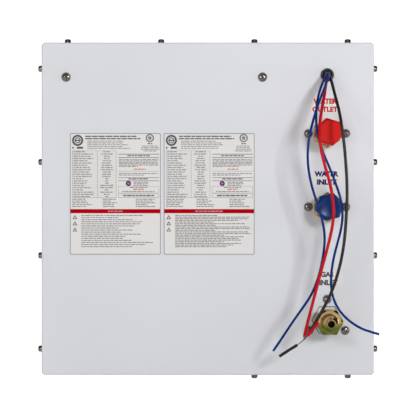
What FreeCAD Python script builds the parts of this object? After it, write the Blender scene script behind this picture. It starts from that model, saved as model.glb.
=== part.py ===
"""Direct-vent tankless water heater for a wall recess, in millimetres with +Z up.

The connection panel, with its water, gas and wire entries, faces -Y and the service door faces +Y.
Inside this script a place is given as (across, forward, up): across is X from the middle, forward is
the distance from the panel's outer face towards the door, and up is Z from the middle of the casing.
"""
import FreeCAD, Part

import math
import os
import re

import Sketcher

Vector = FreeCAD.Vector
Rotation = FreeCAD.Rotation

# Driving sizes. Each one becomes a cell of the sheet, and the sub-parts are bound to those cells.
SIZES = {
    "casing_wide": 322.6, "casing_deep": 350.0, "panel_sheet": 1.2, "panel_lip": 18.0,
    "wrap_sheet": 1.0, "wrap_wide": 320.0, "wrap_start": 1.3, "corner_cut": 2.2, "bend_radius": 1.5,
    "flange_wide": 381.0, "flange_sheet": 1.2, "flange_corner": 8.0, "collar_deep": 20.0,
    "flange_screw_reach": 182.8, "flange_hole_radius": 2.4, "gasket_wide": 356.0, "gasket_thick": 4.0,
    "gasket_gap": 0.2, "door_wide": 350.0, "door_deep": 14.8, "door_sheet": 1.2, "door_gap": 0.4,
    "door_corner": 6.0, "door_edge_radius": 2.0, "louvre_long": 220.0, "louvre_high": 7.0,
    "louvre_pitch": 14.0, "louvre_first": -150.0, "latch_proud": 3.0, "fitting_reach": 50.0,
    "screw_pitch": 91.0, "side_screw_forward": 8.0, "side_screw_radius": 3.4, "side_screw_high": 4.2,
    "face_screw_radius": 4.6, "port_screw_radius": 4.35, "face_screw_high": 3.0, "shank_radius": 1.6,
    "shank_hole_radius": 1.8, "shank_long": 6.0, "face_screw_left": -137.5, "face_screw_right": 53.1,
    "face_screw_up": 127.7, "port_across": 115.7, "hot_up": 73.0, "cold_up": 1.8, "gas_up": -108.0,
    "ear_screw_reach": 18.1, "gas_screw_reach": 20.2, "port_hole_radius": 11.2, "gas_hole_reach": 15.3,
    "bracket_sheet": 1.5, "fitting_hex_reach": 14.43, "fitting_hex_high": 8.0, "nipple_radius": 10.2,
    "nipple_reach": 29.7, "water_bore_radius": 7.5, "fitting_back": 16.0, "fitting_back_radius": 11.0,
    "cap_reach": 32.0, "cap_start": 12.0, "cap_floor": 30.0, "cap_hex_reach": 13.8, "cap_gap": 0.08,
    "gas_hex_reach": 13.51, "gas_hex_start": 14.0, "gas_hex_end": 33.0, "flare_radius": 7.94,
    "flare_thread_end": 43.0, "flare_tip_radius": 4.6, "gas_bore_radius": 3.1, "gas_shank_radius": 8.5,
    "gas_valve_start": 22.0, "grommet_across": 115.96, "grommet_up": 129.7, "grommet_radius": 6.5,
    "grommet_high": 2.2, "grommet_hole_radius": 4.75, "wire_entry_radius": 3.8, "wire_start": 0.6,
    "label_thick": 0.2, "core_across": -42.0, "core_wide": 120.0, "core_back": 60.0, "core_deep": 90.0,
    "core_sheet": 1.2, "burner_bottom": -40.0, "burner_top": 10.0, "exchanger_top": 75.0,
    "hood_top": 119.0, "tube_radius": 8.0, "tube_pitch": 20.0, "tube_up": 50.0, "tube_first": 75.0,
    "tube_end": 34.0, "fin_thick": 0.6, "fin_pitch": 5.0, "duct_wide": 102.0, "duct_high": 32.0,
    "duct_up": 98.0, "duct_end": 346.0, "fan_up": -97.0, "fan_radius": 52.0, "fan_start": 62.0,
    "fan_deep": 50.0, "motor_radius": 27.0, "motor_start": 18.0, "motor_end": 58.0,
    "fan_shaft_radius": 2.5, "shaft_gap": 0.06, "impeller_radius": 42.0, "blade_long": 9.0,
    "blade_thick": 1.2, "blade_high": 34.0, "bar_wide": 12.0, "bar_pitch": 18.0, "manifold_up": -28.0,
    "manifold_start": 156.0, "manifold_thick": 10.0, "valve_across": 93.0, "valve_wide": 46.0,
    "valve_deep": 52.0, "valve_high": 46.0, "coil_radius": 11.0, "coil_high": 30.0, "gas_pipe_radius": 5.0,
    "water_pipe_radius": 7.5, "sensor_start": 40.0, "sensor_end": 78.0, "sensor_radius": 13.0,
    "turbine_radius": 8.6, "turbine_long": 12.0, "relief_start": 150.0, "box_across": -90.0,
    "box_up": -110.0, "box_wide": 120.0, "box_high": 80.0, "box_start": 235.0, "box_deep": 62.0,
    "box_sheet": 1.5, "switch_across": -60.0, "switch_up": -92.0, "rocker_forward": 298.0,
    "hinge_across": -181.0, "hinge_forward": 359.2, "hinge_up": 110.0, "knuckle_radius": 4.0,
    "hinge_pin_radius": 2.0, "latch_across": 140.0, "latch_up": 100.0, "latch_shaft_radius": 4.0,
    "latch_knob_radius": 13.0, "blue_wire_radius": 1.15, "power_wire_radius": 1.45,
    "bare_wire_radius": 0.5,
}
DOOR_BACK = SIZES["casing_deep"] + SIZES["flange_sheet"] + SIZES["door_gap"]
DOOR_FRONT = DOOR_BACK + SIZES["door_deep"]
TOTAL_DEEP = SIZES["fitting_reach"] + DOOR_FRONT + SIZES["latch_proud"]
SIZES["door_back"] = DOOR_BACK
SIZES["door_front"] = DOOR_FRONT
SIZES["panel_y"] = SIZES["fitting_reach"] - TOTAL_DEEP / 2
SIZES["middle_z"] = SIZES["flange_wide"] / 2
SIZES["screw_reach"] = SIZES["casing_wide"] / 2
SIZES["collar_wide"] = SIZES["wrap_wide"] - 2 * SIZES["wrap_sheet"]
SIZES["opening_wide"] = SIZES["collar_wide"] - 2 * SIZES["flange_sheet"]
SIZES["core_front"] = SIZES["core_back"] + SIZES["core_deep"]

BURNER_BARS = 6
FIN_COUNT = 23
FAN_BLADES = 24
LOUVRES = 5
SIDE_SCREWS = (-1.5, -0.5, 0.5, 1.5)      # in screw pitches from the middle of an edge
BOTTOM_SCREWS = (0.5, 1.5)
GAS_SCREW_ANGLES = (90, -30, -150)
ROCKER_TILT = -10

# Free wires, from the grommet outwards. Each point is (across, out of the panel, up).
BLUE_RIGHT_ROUTE = [
    (114.6, 0.6, 131.1), (114.6, 8.0, 131.1), (112.8, 18.0, 126.8), (108.4, 29.0, 118.4),
    (104.2, 38.5, 107.1), (101.6, 46.5, 93.3), (101.2, 52.5, 79.0), (103.1, 55.0, 65.0),
    (107.9, 55.4, 51.0), (113.7, 55.0, 37.9), (118.7, 55.6, 24.9), (123.7, 56.0, 10.4),
    (125.9, 55.6, -4.0), (124.5, 55.0, -18.5), (120.7, 54.2, -32.9), (117.1, 53.8, -46.9),
    (115.1, 53.4, -60.9), (114.9, 53.0, -74.9), (118.8, 52.4, -89.0), (127.9, 51.0, -101.7),
    (141.0, 49.6, -111.0), (150.6, 48.6, -114.8), (160.5, 47.6, -117.6)]
BLUE_LEFT_ROUTE = [
    (117.3, 0.6, 131.2), (117.3, 9.5, 131.2), (115.0, 22.5, 124.9), (109.6, 37.0, 111.9),
    (103.4, 49.5, 98.4), (98.6, 57.0, 84.4), (94.8, 60.0, 70.4), (92.8, 60.4, 56.4),
    (92.8, 59.4, 42.5), (94.8, 58.2, 28.6), (98.5, 57.4, 14.6), (103.3, 57.2, 1.1),
    (107.2, 57.0, -12.8), (109.2, 56.4, -27.3), (107.8, 55.6, -42.2), (104.9, 54.8, -57.6),
    (100.9, 54.0, -70.7), (95.6, 53.0, -82.4), (88.6, 51.4, -92.8), (80.3, 49.4, -104.6),
    (71.3, 47.0, -118.8), (61.5, 44.6, -133.6)]
RED_ROUTE = [
    (114.5, 0.6, 128.3), (114.5, 8.5, 128.3), (113.4, 19.5, 122.2), (111.2, 31.5, 110.7),
    (107.8, 43.5, 96.5), (104.8, 52.6, 82.8), (103.8, 58.2, 68.5), (105.1, 60.6, 54.5),
    (108.7, 61.4, 39.6), (113.1, 61.0, 24.8), (116.2, 60.6, 9.5), (117.1, 60.8, -5.4),
    (115.1, 60.4, -20.2), (111.6, 60.0, -34.6), (107.7, 59.4, -49.5), (103.3, 58.6, -65.3),
    (99.2, 57.4, -81.7), (95.4, 55.4, -96.7), (92.4, 53.2, -109.0), (90.2, 51.0, -119.5)]
BLACK_ROUTE = [
    (117.4, 0.6, 128.2), (117.4, 9.5, 128.2), (118.2, 19.5, 122.6), (120.1, 30.0, 110.4),
    (122.2, 44.5, 97.2), (124.0, 54.5, 83.5), (125.7, 57.6, 69.2), (127.4, 58.0, 54.7),
    (128.7, 57.0, 39.3), (129.6, 57.2, 23.9), (129.6, 57.6, 8.1), (128.8, 58.0, -7.3),
    (127.8, 58.2, -22.1), (126.1, 58.4, -37.0), (123.2, 58.2, -51.9), (119.0, 57.6, -67.2),
    (113.6, 56.6, -81.7), (106.1, 54.8, -96.1), (99.8, 52.6, -107.5), (95.2, 50.6, -115.2)]
# The stripped ends: a bare conductor, then the slug of insulation that stayed on its tip.
RED_BARE_ROUTE = [
    (90.2, 51.0, -119.5), (89.6, 50.8, -122.4), (91.0, 52.6, -121.4), (93.1, 53.2, -118.5)]
RED_SLUG_ROUTE = [(93.1, 53.2, -118.5), (98.3, 55.2, -111.7), (103.4, 56.8, -105.3)]
BLACK_BARE_ROUTE = [
    (95.2, 50.6, -115.2), (91.6, 49.4, -120.6), (88.2, 48.6, -124.5), (83.9, 48.2, -127.5)]
BLACK_SLUG_ROUTE = [(83.9, 48.2, -127.5), (75.8, 47.8, -132.6), (67.0, 47.4, -138.4)]

AXES = {
    "+x": Vector(1, 0, 0), "-x": Vector(-1, 0, 0), "+y": Vector(0, 1, 0),
    "-y": Vector(0, -1, 0), "+z": Vector(0, 0, 1), "-z": Vector(0, 0, -1),
}

doc = FreeCAD.newDocument("TanklessWaterHeater")
sub_parts = []


def make_sheet():
    """Put every size in a cell of the sheet, under its own name."""
    sheet = doc.addObject("Spreadsheet::Sheet", "Dims")
    for row, (name, size) in enumerate(SIZES.items(), start=1):
        sheet.set("A%d" % row, name)
        sheet.set("B%d" % row, repr(round(size, 4)))
        sheet.setAlias("B%d" % row, name)
    doc.recompute()


def in_sheet(text):
    """Write an expression with the sheet's name in front of each of its cells."""
    return re.sub(r"[a-z]\w*", lambda word: "Dims." + word.group(), str(text))


def amount(text):
    """The value of an expression made of sheet names and numbers joined by +, -, * and /."""
    total = 0.0
    sign = 1
    for term in str(text).split():
        if term in ("+", "-"):
            sign = 1 if term == "+" else -1
            continue
        if term[0] in "+-" and term[1:2].isalpha():
            sign = -sign if term[0] == "-" else sign
            term = term[1:]
        factors = re.split(r"([*/])", term)
        value = 1.0
        divide = False
        for factor in factors:
            if factor in ("*", "/"):
                divide = factor == "/"
                continue
            number = SIZES[factor] if factor in SIZES else float(factor)
            value = value / number if divide else value * number
        total += sign * value
        sign = 1
    return total


def bind(part, **sizes):
    """Bind properties of a document object to expressions over the sheet."""
    for name, text in sizes.items():
        part.setExpression(name.replace("__", "."), in_sheet(text))


def place(part, at, turn=None):
    """Place a sub-part at (across, forward, up), turned about its own origin."""
    part.Placement = FreeCAD.Placement(Vector(), turn or Rotation())
    across, forward, up = at
    bind(part, Placement__Base__x=across, Placement__Base__y="panel_y + %s" % forward,
         Placement__Base__z="middle_z + %s" % up)
    return part


def box(wide, deep, high, at):
    """A block whose lowest corner is at the given place."""
    part = doc.addObject("Part::Box", "Block")
    bind(part, Length=wide, Width=deep, Height=high)
    return place(part, at)


def slab(wide, deep, high, at):
    """A block centred across and up on the given place, and starting there in the forward direction."""
    across, forward, up = at
    return box(wide, deep, high, ("%s - (%s) / 2" % (across, wide), forward, "%s - (%s) / 2" % (up, high)))


def rod(radius, length, at, axis="+y"):
    """A cylinder that starts at the given place and runs along an axis."""
    part = doc.addObject("Part::Cylinder", "Rod")
    bind(part, Radius=radius, Height=length)
    return place(part, at, Rotation(AXES["+z"], AXES[axis]))


def cone(radius_near, radius_far, length, at, axis="+y"):
    part = doc.addObject("Part::Cone", "Cone")
    bind(part, Radius1=radius_near, Radius2=radius_far, Height=length)
    return place(part, at, Rotation(AXES["+z"], AXES[axis]))


def hexagon(reach, length, at, axis="+y", spin=0):
    """A six-sided bar, sized over its corners; spin turns it about its own axis."""
    part = doc.addObject("Part::Prism", "Hexagon")
    part.Polygon = 6
    bind(part, Circumradius=reach, Height=length)
    return place(part, at, Rotation(AXES["+z"], AXES[axis]) * Rotation(AXES["+z"], spin))


def joined(*parts):
    fused = doc.addObject("Part::MultiFuse", "Joined")
    fused.Shapes = list(parts)
    return fused


def group(*parts):
    """Separate solids of one kind kept together, such as a set of screws."""
    compound = doc.addObject("Part::Compound", "Group")
    compound.Links = list(parts)
    return compound


def cut(base, *tools):
    difference = doc.addObject("Part::Cut", "Cut")
    difference.Base = base
    difference.Tool = tools[0] if len(tools) == 1 else joined(*tools)
    return difference


def name_part(label, part):
    """Give a finished sub-part its name and keep it for the export."""
    part.Label = label
    sub_parts.append(part)
    return part


def pipe_shape(points, radius, bend=None):
    """A round bar along straight runs joined by tangent arcs, from (across, forward, up) points.

    With no bend radius given, each arc is as large as 0.45 of the shorter of its two runs allows.
    Returns the shape, the list of its arc radii and the length of its middle line.
    """
    corners = [Vector(x, SIZES["panel_y"] + y, SIZES["middle_z"] + z) for x, y, z in points]
    edges = []
    radii = []
    start = corners[0]
    for before, corner, after in zip(corners, corners[1:], corners[2:]):
        incoming = (corner - before).normalize()
        outgoing = (after - corner).normalize()
        half_turn = incoming.getAngle(outgoing) / 2
        reach = 0.45 * min((corner - before).Length, (after - corner).Length)
        if bend:
            reach = bend * math.tan(half_turn)
        arc_radius = reach / math.tan(half_turn)
        radii.append(arc_radius)
        arc_start = corner - incoming * reach
        arc_end = corner + outgoing * reach
        inward = (outgoing - incoming).normalize()
        middle = corner + inward * (arc_radius / math.cos(half_turn) - arc_radius)
        edges.append(Part.LineSegment(start, arc_start).toShape())
        edges.append(Part.Arc(arc_start, middle, arc_end).toShape())
        start = arc_end
    edges.append(Part.LineSegment(start, corners[-1]).toShape())
    path = Part.Wire(edges)
    first = (corners[1] - corners[0]).normalize()
    section = Part.Wire([Part.Circle(corners[0], first, radius).toShape()])
    solid = path.makePipeShell([section], True, False)
    expected = math.pi * radius ** 2 * path.Length
    if abs(solid.Volume - expected) > 0.01 * expected:
        raise ValueError("a pipe's volume differs from its section times its length")
    return solid, radii, path.Length


def feature(shape):
    part = doc.addObject("Part::Feature", "Swept")
    part.Shape = shape
    return part


def tube(points, radius_name, bend=None):
    """A swept tube as a document object; a point is three expressions or numbers."""
    numbers = [tuple(amount(value) for value in point) for point in points]
    solid, _, _ = pipe_shape(numbers, SIZES[radius_name], bend)
    return feature(solid)


def body_plane(body, role):
    return [plane for plane in body.Origin.OriginFeatures if plane.Role == role][0]


def sketch_on(body, role, offset="0"):
    """A sketch on one of a body's own origin planes, moved along the plane's normal by an offset."""
    drawing = body.newObject("Sketcher::SketchObject", "Sketch")
    drawing.AttachmentSupport = [(body_plane(body, role), "")]
    drawing.MapMode = "FlatFace"
    bind(drawing, AttachmentOffset__Base__z=offset)
    return drawing


def pin_point(drawing, line, end, x, y):
    """Hold one end of a line at bound distances from the sketch's origin."""
    for kind, text in (("DistanceX", x), ("DistanceY", y)):
        index = drawing.addConstraint(Sketcher.Constraint(kind, -1, 1, line, end, amount(text)))
        drawing.setExpression("Constraints[%d]" % index, in_sheet(text))


def draw_outline(drawing, points):
    """A closed outline of straight lines, with every corner held by bound distances."""
    first = drawing.GeometryCount
    corners = [Vector(amount(x), amount(y), 0) for x, y in points]
    for start, end in zip(corners, corners[1:] + corners[:1]):
        drawing.addGeometry(Part.LineSegment(start, end), False)
    count = len(points)
    for index, (x, y) in enumerate(points):
        following = first + (index + 1) % count
        drawing.addConstraint(Sketcher.Constraint("Coincident", first + index, 2, following, 1))
        pin_point(drawing, first + index, 1, x, y)


def draw_rectangle(drawing, wide, high, x="0", y="0"):
    left, right = "%s - %s/2" % (x, wide), "%s + %s/2" % (x, wide)
    low, top = "%s - %s/2" % (y, high), "%s + %s/2" % (y, high)
    draw_outline(drawing, [(left, low), (right, low), (right, top), (left, top)])


def draw_circle(drawing, radius, x="0", y="0"):
    centre = Vector(amount(x), amount(y), 0)
    line = drawing.addGeometry(Part.Circle(centre, AXES["+z"], amount(radius)), False)
    pin_point(drawing, line, 3, x, y)
    index = drawing.addConstraint(Sketcher.Constraint("Radius", line, amount(radius)))
    drawing.setExpression("Constraints[%d]" % index, in_sheet(radius))


def new_body(label, at, turn=None):
    body = doc.addObject("PartDesign::Body", "Body")
    place(body, at, turn)
    return name_part(label, body)


def pad(body, drawing, length, backwards=False, middle=False):
    """Pull a sketch into a solid; on the XZ plane the normal is -Y, so forward is backwards."""
    feature_made = body.newObject("PartDesign::Pad", "Pad")
    feature_made.Profile = drawing
    feature_made.Reversed = backwards
    feature_made.Midplane = middle
    bind(feature_made, Length=length)
    doc.recompute()
    return feature_made


def pocket(body, drawing, length=None, backwards=False, middle=False):
    """Cut a sketch out of the solid, right through when no length is given, and prove that it cut."""
    before = body.Shape.Volume
    feature_made = body.newObject("PartDesign::Pocket", "Pocket")
    feature_made.Profile = drawing
    feature_made.Reversed = backwards
    feature_made.Midplane = middle
    if length is None:
        feature_made.Type = 1
    else:
        bind(feature_made, Length=length)
    doc.recompute()
    if body.Shape.Volume > before - 0.01:
        raise ValueError("a pocket of %s cut nothing" % body.Label)
    return feature_made


def round_edges(body, kind, size_property, size, wanted):
    """Fillet or chamfer the edges of a body's present shape that a test picks."""
    base = body.Tip
    names = ["Edge%d" % number for number, edge in enumerate(base.Shape.Edges, start=1) if wanted(edge)]
    dressed = body.newObject(kind, "Dressed")
    dressed.Base = (base, names)
    bind(dressed, **{size_property: size})
    doc.recompute()
    return dressed


def runs_along(edge, axis):
    ends = edge.Vertexes
    return len(ends) == 2 and (ends[1].Point - ends[0].Point).cross(axis).Length < 0.01


def screw(at, axis, head_radius, head_high, shank_long="shank_long"):
    """A pan head with a thin washer skirt; the axis points out of the surface it holds."""
    back = {"+": "-", "-": "+"}[axis[0]] + axis[1]
    skirt = rod(head_radius, "0.8", at, axis)
    dome = cone("%s*0.92" % head_radius, "%s*0.62" % head_radius, head_high, at, axis)
    shank = rod("shank_radius", shank_long, at, back)
    return joined(skirt, dome, shank)


# ---- casing -------------------------------------------------------------------------------------

def gas_screw_places():
    reach = SIZES["gas_screw_reach"]
    for angle in GAS_SCREW_ANGLES:
        turn = math.radians(angle)
        across = "port_across + gas_screw_reach*%.6f" % math.cos(turn)
        up = "gas_up + gas_screw_reach*%.6f" % math.sin(turn)
        yield across, up


def port_screw_places():
    """The two ear screws of each water fitting and the three screws of the gas entry."""
    for up in ("hot_up", "cold_up"):
        for sign in "-+":
            yield "port_across %s ear_screw_reach" % sign, up
    yield from gas_screw_places()


def face_screw_places():
    return [("face_screw_left", "face_screw_up"), ("face_screw_right", "face_screw_up")]


def connection_panel():
    """The square back pan: bent lips all round, and holes for every entry and screw."""
    body = new_body("connection_panel", ("0", "0", "0"))
    outline = sketch_on(body, "XZ_Plane")
    draw_rectangle(outline, "casing_wide", "casing_wide")
    pad(body, outline, "panel_lip", backwards=True)
    hollow = sketch_on(body, "XZ_Plane", "-panel_sheet")
    inner = "casing_wide/2 - panel_sheet"
    outer = "-casing_wide/2 + panel_sheet"
    draw_outline(hollow, [(outer, outer), (inner, outer), (inner, inner), (outer, inner)])
    pocket(body, hollow)
    holes = sketch_on(body, "XZ_Plane")
    draw_circle(holes, "grommet_hole_radius", "grommet_across", "grommet_up")
    draw_circle(holes, "port_hole_radius", "port_across", "hot_up")
    draw_circle(holes, "port_hole_radius", "port_across", "cold_up")
    corners = []
    for step in range(6):
        turn = math.radians(60 * step)
        corners.append(("port_across + gas_hole_reach*%.6f" % math.cos(turn),
                        "gas_up + gas_hole_reach*%.6f" % math.sin(turn)))
    draw_outline(holes, corners)
    for across, up in list(port_screw_places()) + face_screw_places():
        draw_circle(holes, "shank_hole_radius", across, up)
    pocket(body, holes)
    drill_lips(body)
    half = SIZES["casing_wide"] / 2
    round_edges(body, "PartDesign::Chamfer", "Size", "corner_cut",
                lambda edge: runs_along(edge, AXES["+y"]) and abs(edge.Vertexes[0].X) > half - 0.1
                and abs(abs(edge.Vertexes[0].Z) - half) < 0.1)
    round_edges(body, "PartDesign::Fillet", "Radius", "bend_radius",
                lambda edge: all(abs(end.Y) < 0.01 for end in edge.Vertexes) and len(edge.Vertexes) == 2
                and all(max(abs(end.X), abs(end.Z)) > half - 3 for end in edge.Vertexes)
                and edge.Length > 2)


def drill_lips(body):
    """Screw holes through the four lips: on the XY plane for top and bottom, on YZ for the sides."""
    for pitches, backwards in ((SIDE_SCREWS, True), (BOTTOM_SCREWS, False)):
        holes = sketch_on(body, "XY_Plane")
        for pitch in pitches:
            draw_circle(holes, "shank_hole_radius", "screw_pitch*%s" % pitch, "side_screw_forward")
        pocket(body, holes, backwards=backwards)
    holes = sketch_on(body, "YZ_Plane")
    for pitch in SIDE_SCREWS:
        draw_circle(holes, "shank_hole_radius", "side_screw_forward", "screw_pitch*%s" % pitch)
    pocket(body, holes, middle=True)


def edge_holes(pitches, at_for, axis):
    return [rod("shank_hole_radius", "20", at_for("screw_pitch*%s" % pitch), axis) for pitch in pitches]


def wrap_sheets():
    """The four sheets between the back pan and the wall flange."""
    deep = "casing_deep - wrap_start"
    inner = "wrap_wide - 2*wrap_sheet"
    for label, side in (("side_sheet_left", "-"), ("side_sheet_right", "+")):
        start = "-wrap_wide/2" if side == "-" else "wrap_wide/2 - wrap_sheet"
        sheet = box("wrap_sheet", deep, "wrap_wide", (start, "wrap_start", "-wrap_wide/2"))
        holes = edge_holes(SIDE_SCREWS,
                           lambda up: ("%scasing_wide/2 - 10" % side, "side_screw_forward", up), "+x")
        name_part(label, cut(sheet, *holes))
    for label, side, pitches in (("bottom_sheet", "-", BOTTOM_SCREWS), ("top_cover", "+", SIDE_SCREWS)):
        low = "-wrap_wide/2" if side == "-" else "wrap_wide/2 - wrap_sheet"
        sheet = box(inner, deep, "wrap_sheet", ("-wrap_wide/2 + wrap_sheet", "wrap_start", low))
        lip = "%scasing_wide/2 - 10" % side
        holes = edge_holes(pitches, lambda across: (across, "side_screw_forward", lip), "+z")
        name_part(label, cut(sheet, *holes))


def case_screws():
    """Fourteen screws round the lips and the two that hold the core's rail."""
    screws = []
    for pitch in SIDE_SCREWS:
        shift = "screw_pitch*%s" % pitch
        places = [((shift, "side_screw_forward", "casing_wide/2"), "+z"),
                  (("-casing_wide/2", "side_screw_forward", shift), "-x"),
                  (("casing_wide/2", "side_screw_forward", shift), "+x")]
        if pitch in BOTTOM_SCREWS:
            places.append(((shift, "side_screw_forward", "-casing_wide/2"), "-z"))
        for at, axis in places:
            screws.append(screw(at, axis, "side_screw_radius", "side_screw_high"))
    for across, up in face_screw_places():
        screws.append(screw((across, "0", up), "-y", "face_screw_radius", "face_screw_high", "shank_long"))
    name_part("case_screws", group(*screws))


def wall_flange():
    """The square frame that closes the wall's cut-out, with a collar inside the casing."""
    body = new_body("wall_flange", ("0", "casing_deep", "0"))
    ring = sketch_on(body, "XZ_Plane")
    draw_rectangle(ring, "flange_wide", "flange_wide")
    draw_rectangle(ring, "opening_wide", "opening_wide")
    pad(body, ring, "flange_sheet", backwards=True)
    half = SIZES["flange_wide"] / 2
    round_edges(body, "PartDesign::Fillet", "Radius", "flange_corner",
                lambda edge: runs_along(edge, AXES["+y"]) and abs(edge.Vertexes[0].X) > half - 0.1)
    collar = sketch_on(body, "XZ_Plane")
    draw_rectangle(collar, "collar_wide", "collar_wide")
    draw_rectangle(collar, "opening_wide", "opening_wide")
    pad(body, collar, "collar_deep")
    strikes = sketch_on(body, "XZ_Plane", "6")
    for sign in "-+":
        draw_outline(strikes, [("opening_wide/2 - 1.6", "%slatch_up - 12" % sign),
                               ("opening_wide/2", "%slatch_up - 12" % sign),
                               ("opening_wide/2", "%slatch_up + 12" % sign),
                               ("opening_wide/2 - 1.6", "%slatch_up + 12" % sign)])
    pad(body, strikes, "10")
    holes = sketch_on(body, "XZ_Plane")
    reach = ("-flange_screw_reach", "0", "flange_screw_reach")
    for across in reach:
        for up in reach:
            if (across, up) != ("0", "0"):
                draw_circle(holes, "flange_hole_radius", across, up)
    pocket(body, holes, middle=True)


def flange_gasket():
    """A foam ring behind the flange, round the casing."""
    inner = "wrap_wide + 2*gasket_gap"
    ring = slab("gasket_wide", "gasket_thick", "gasket_wide", ("0", "casing_deep - gasket_thick", "0"))
    hole = slab(inner, "gasket_thick + 2", inner, ("0", "casing_deep - gasket_thick - 1", "0"))
    name_part("flange_gasket", cut(ring, hole))


# ---- service door -------------------------------------------------------------------------------

def access_door():
    """A shallow pan with rounded edges, intake louvres low down and the exhaust opening above."""
    body = new_body("access_door", ("0", "door_back", "0"))
    outline = sketch_on(body, "XZ_Plane")
    draw_rectangle(outline, "door_wide", "door_wide")
    pad(body, outline, "door_deep", backwards=True)
    half = SIZES["door_wide"] / 2
    round_edges(body, "PartDesign::Fillet", "Radius", "door_corner",
                lambda edge: runs_along(edge, AXES["+y"]) and abs(edge.Vertexes[0].X) > half - 0.1)
    front = SIZES["door_deep"]
    round_edges(body, "PartDesign::Fillet", "Radius", "door_edge_radius",
                lambda edge: all(abs(end.Y - front) < 0.01 for end in edge.Vertexes))
    hollow = sketch_on(body, "XZ_Plane", "-door_deep + door_sheet")
    inner = "door_wide/2 - door_edge_radius - 0.2"
    outer = "-door_wide/2 + door_edge_radius + 0.2"
    draw_outline(hollow, [(outer, outer), (inner, outer), (inner, inner), (outer, inner)])
    pocket(body, hollow, backwards=True)
    openings = sketch_on(body, "XZ_Plane")
    for step in range(LOUVRES):
        draw_rectangle(openings, "louvre_long", "louvre_high", "0", "louvre_first + louvre_pitch*%d" % step)
    draw_outline(openings, [("core_across - duct_wide/2 - 3", "duct_up - duct_high/2 - 3"),
                            ("core_across + duct_wide/2 + 3", "duct_up - duct_high/2 - 3"),
                            ("core_across + duct_wide/2 + 3", "duct_up + duct_high/2 + 3"),
                            ("core_across - duct_wide/2 - 3", "duct_up + duct_high/2 + 3")])
    for sign in "-+":
        draw_circle(openings, "latch_shaft_radius + shaft_gap", "latch_across", "%slatch_up" % sign)
    pocket(body, openings, middle=True)


def exhaust_grille():
    """A slotted plate over the door's exhaust opening."""
    plate = slab("duct_wide + 24", "2", "duct_high + 22", ("core_across", "door_front", "duct_up"))
    slots = []
    for step in range(-5, 6):
        across = "core_across + %d" % (9 * step)
        slots.append(slab("5", "6", "duct_high", (across, "door_front - 2", "duct_up")))
    name_part("exhaust_grille", cut(plate, *slots))


def hinges():
    """Two lift-off hinges: the flange carries the pins and the door the knuckles that turn on them."""
    frame_sides = []
    door_sides = []
    for sign in "-+":
        middle = "%shinge_up" % sign
        foot = "casing_deep + flange_sheet"
        leaf = box("12", "1.5", "36", ("hinge_across - 8", foot, "%s - 18" % middle))
        web = box("4", "6", "16", ("hinge_across - 2", foot, "%s - 18" % middle))
        barrel = rod("knuckle_radius", "16", ("hinge_across", "hinge_forward", "%s - 18" % middle), "+z")
        pin = rod("hinge_pin_radius", "35", ("hinge_across", "hinge_forward", "%s - 18" % middle), "+z")
        frame_sides.append(joined(leaf, web, barrel, pin))
        knuckle = rod("knuckle_radius", "15.7", ("hinge_across", "hinge_forward", "%s - 1.7" % middle), "+z")
        arm = box("3.5", "4", "15.7", ("hinge_across + 2.5", "hinge_forward - 2", "%s - 1.7" % middle))
        bore = rod("hinge_pin_radius + shaft_gap", "20",
                   ("hinge_across", "hinge_forward", "%s - 3" % middle), "+z")
        door_sides.append(cut(joined(knuckle, arm), bore))
    name_part("frame_hinges", group(*frame_sides))
    name_part("door_hinges", group(*door_sides))


def latches():
    """Quarter-turn latches: a knob with a finger ridge, a shaft and a tongue behind the door."""
    for label, sign in (("latch_upper", "+"), ("latch_lower", "-")):
        up = "%slatch_up" % sign
        shaft = rod("latch_shaft_radius", "27.1", ("latch_across", "door_front - 26.8", up))
        knob = rod("latch_knob_radius", "1.2", ("latch_across", "door_front + 0.3", up))
        ridge = slab("22", "latch_proud - 0.3", "6", ("latch_across", "door_front + 0.3", up))
        tongue = box("21.4", "2.5", "10", ("latch_across - 6", "door_front - 26.4", "%s - 5" % up))
        name_part(label, joined(shaft, knob, ridge, tongue))


# ---- entries on the connection panel ------------------------------------------------------------

def port_screws():
    screws = [screw((across, "0", up), "-y", "port_screw_radius", "face_screw_high", "shank_long")
              for across, up in port_screw_places()]
    name_part("port_screws", group(*screws))


def port_brackets():
    """Plates behind the panel that the port screws pull the fittings against."""
    plates = []
    for up in ("hot_up", "cold_up"):
        plate = slab("52", "bracket_sheet", "30", ("port_across", "panel_sheet", up))
        plates.append(cut(plate, rod("fitting_back_radius + 0.1", "9", ("port_across", "-2", up))))
    gas_plate = slab("50", "bracket_sheet", "48", ("port_across", "panel_sheet", "gas_up + 3"))
    plates.append(cut(gas_plate, rod("gas_shank_radius + 0.1", "9", ("port_across", "-2", "gas_up"))))
    drills = [rod("shank_hole_radius", "9", (across, "-2", up)) for across, up in port_screw_places()]
    name_part("port_brackets", cut(group(*plates), *drills))


def wire_grommet():
    """A rubber grommet: two flanges with the panel in the groove between them, and a blind wire entry."""
    at = ("grommet_across", "-grommet_high", "grommet_up")
    outer = rod("grommet_radius", "grommet_high", at)
    neck = rod("grommet_hole_radius", "panel_sheet", ("grommet_across", "0", "grommet_up"))
    inner = rod("grommet_radius - 0.5", "1.8", ("grommet_across", "panel_sheet", "grommet_up"))
    entry = rod("wire_entry_radius", "grommet_high - wire_start", at)
    name_part("wire_grommet", cut(joined(outer, neck, inner), entry))


def water_fitting(label, up):
    """A brass union: hexagon against the panel, a threaded nipple outside and a spigot inside."""
    hex_part = hexagon("fitting_hex_reach", "fitting_hex_high", ("port_across", "-fitting_hex_high", up),
                       spin=90)
    nipple = rod("nipple_radius", "nipple_reach", ("port_across", "-nipple_reach", up))
    spigot = rod("fitting_back_radius", "fitting_back", ("port_across", "0", up))
    bore = rod("water_bore_radius", "nipple_reach + fitting_back + 2",
               ("port_across", "-nipple_reach - 1", up))
    name_part(label, cut(joined(hex_part, nipple, spigot), bore))


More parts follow.
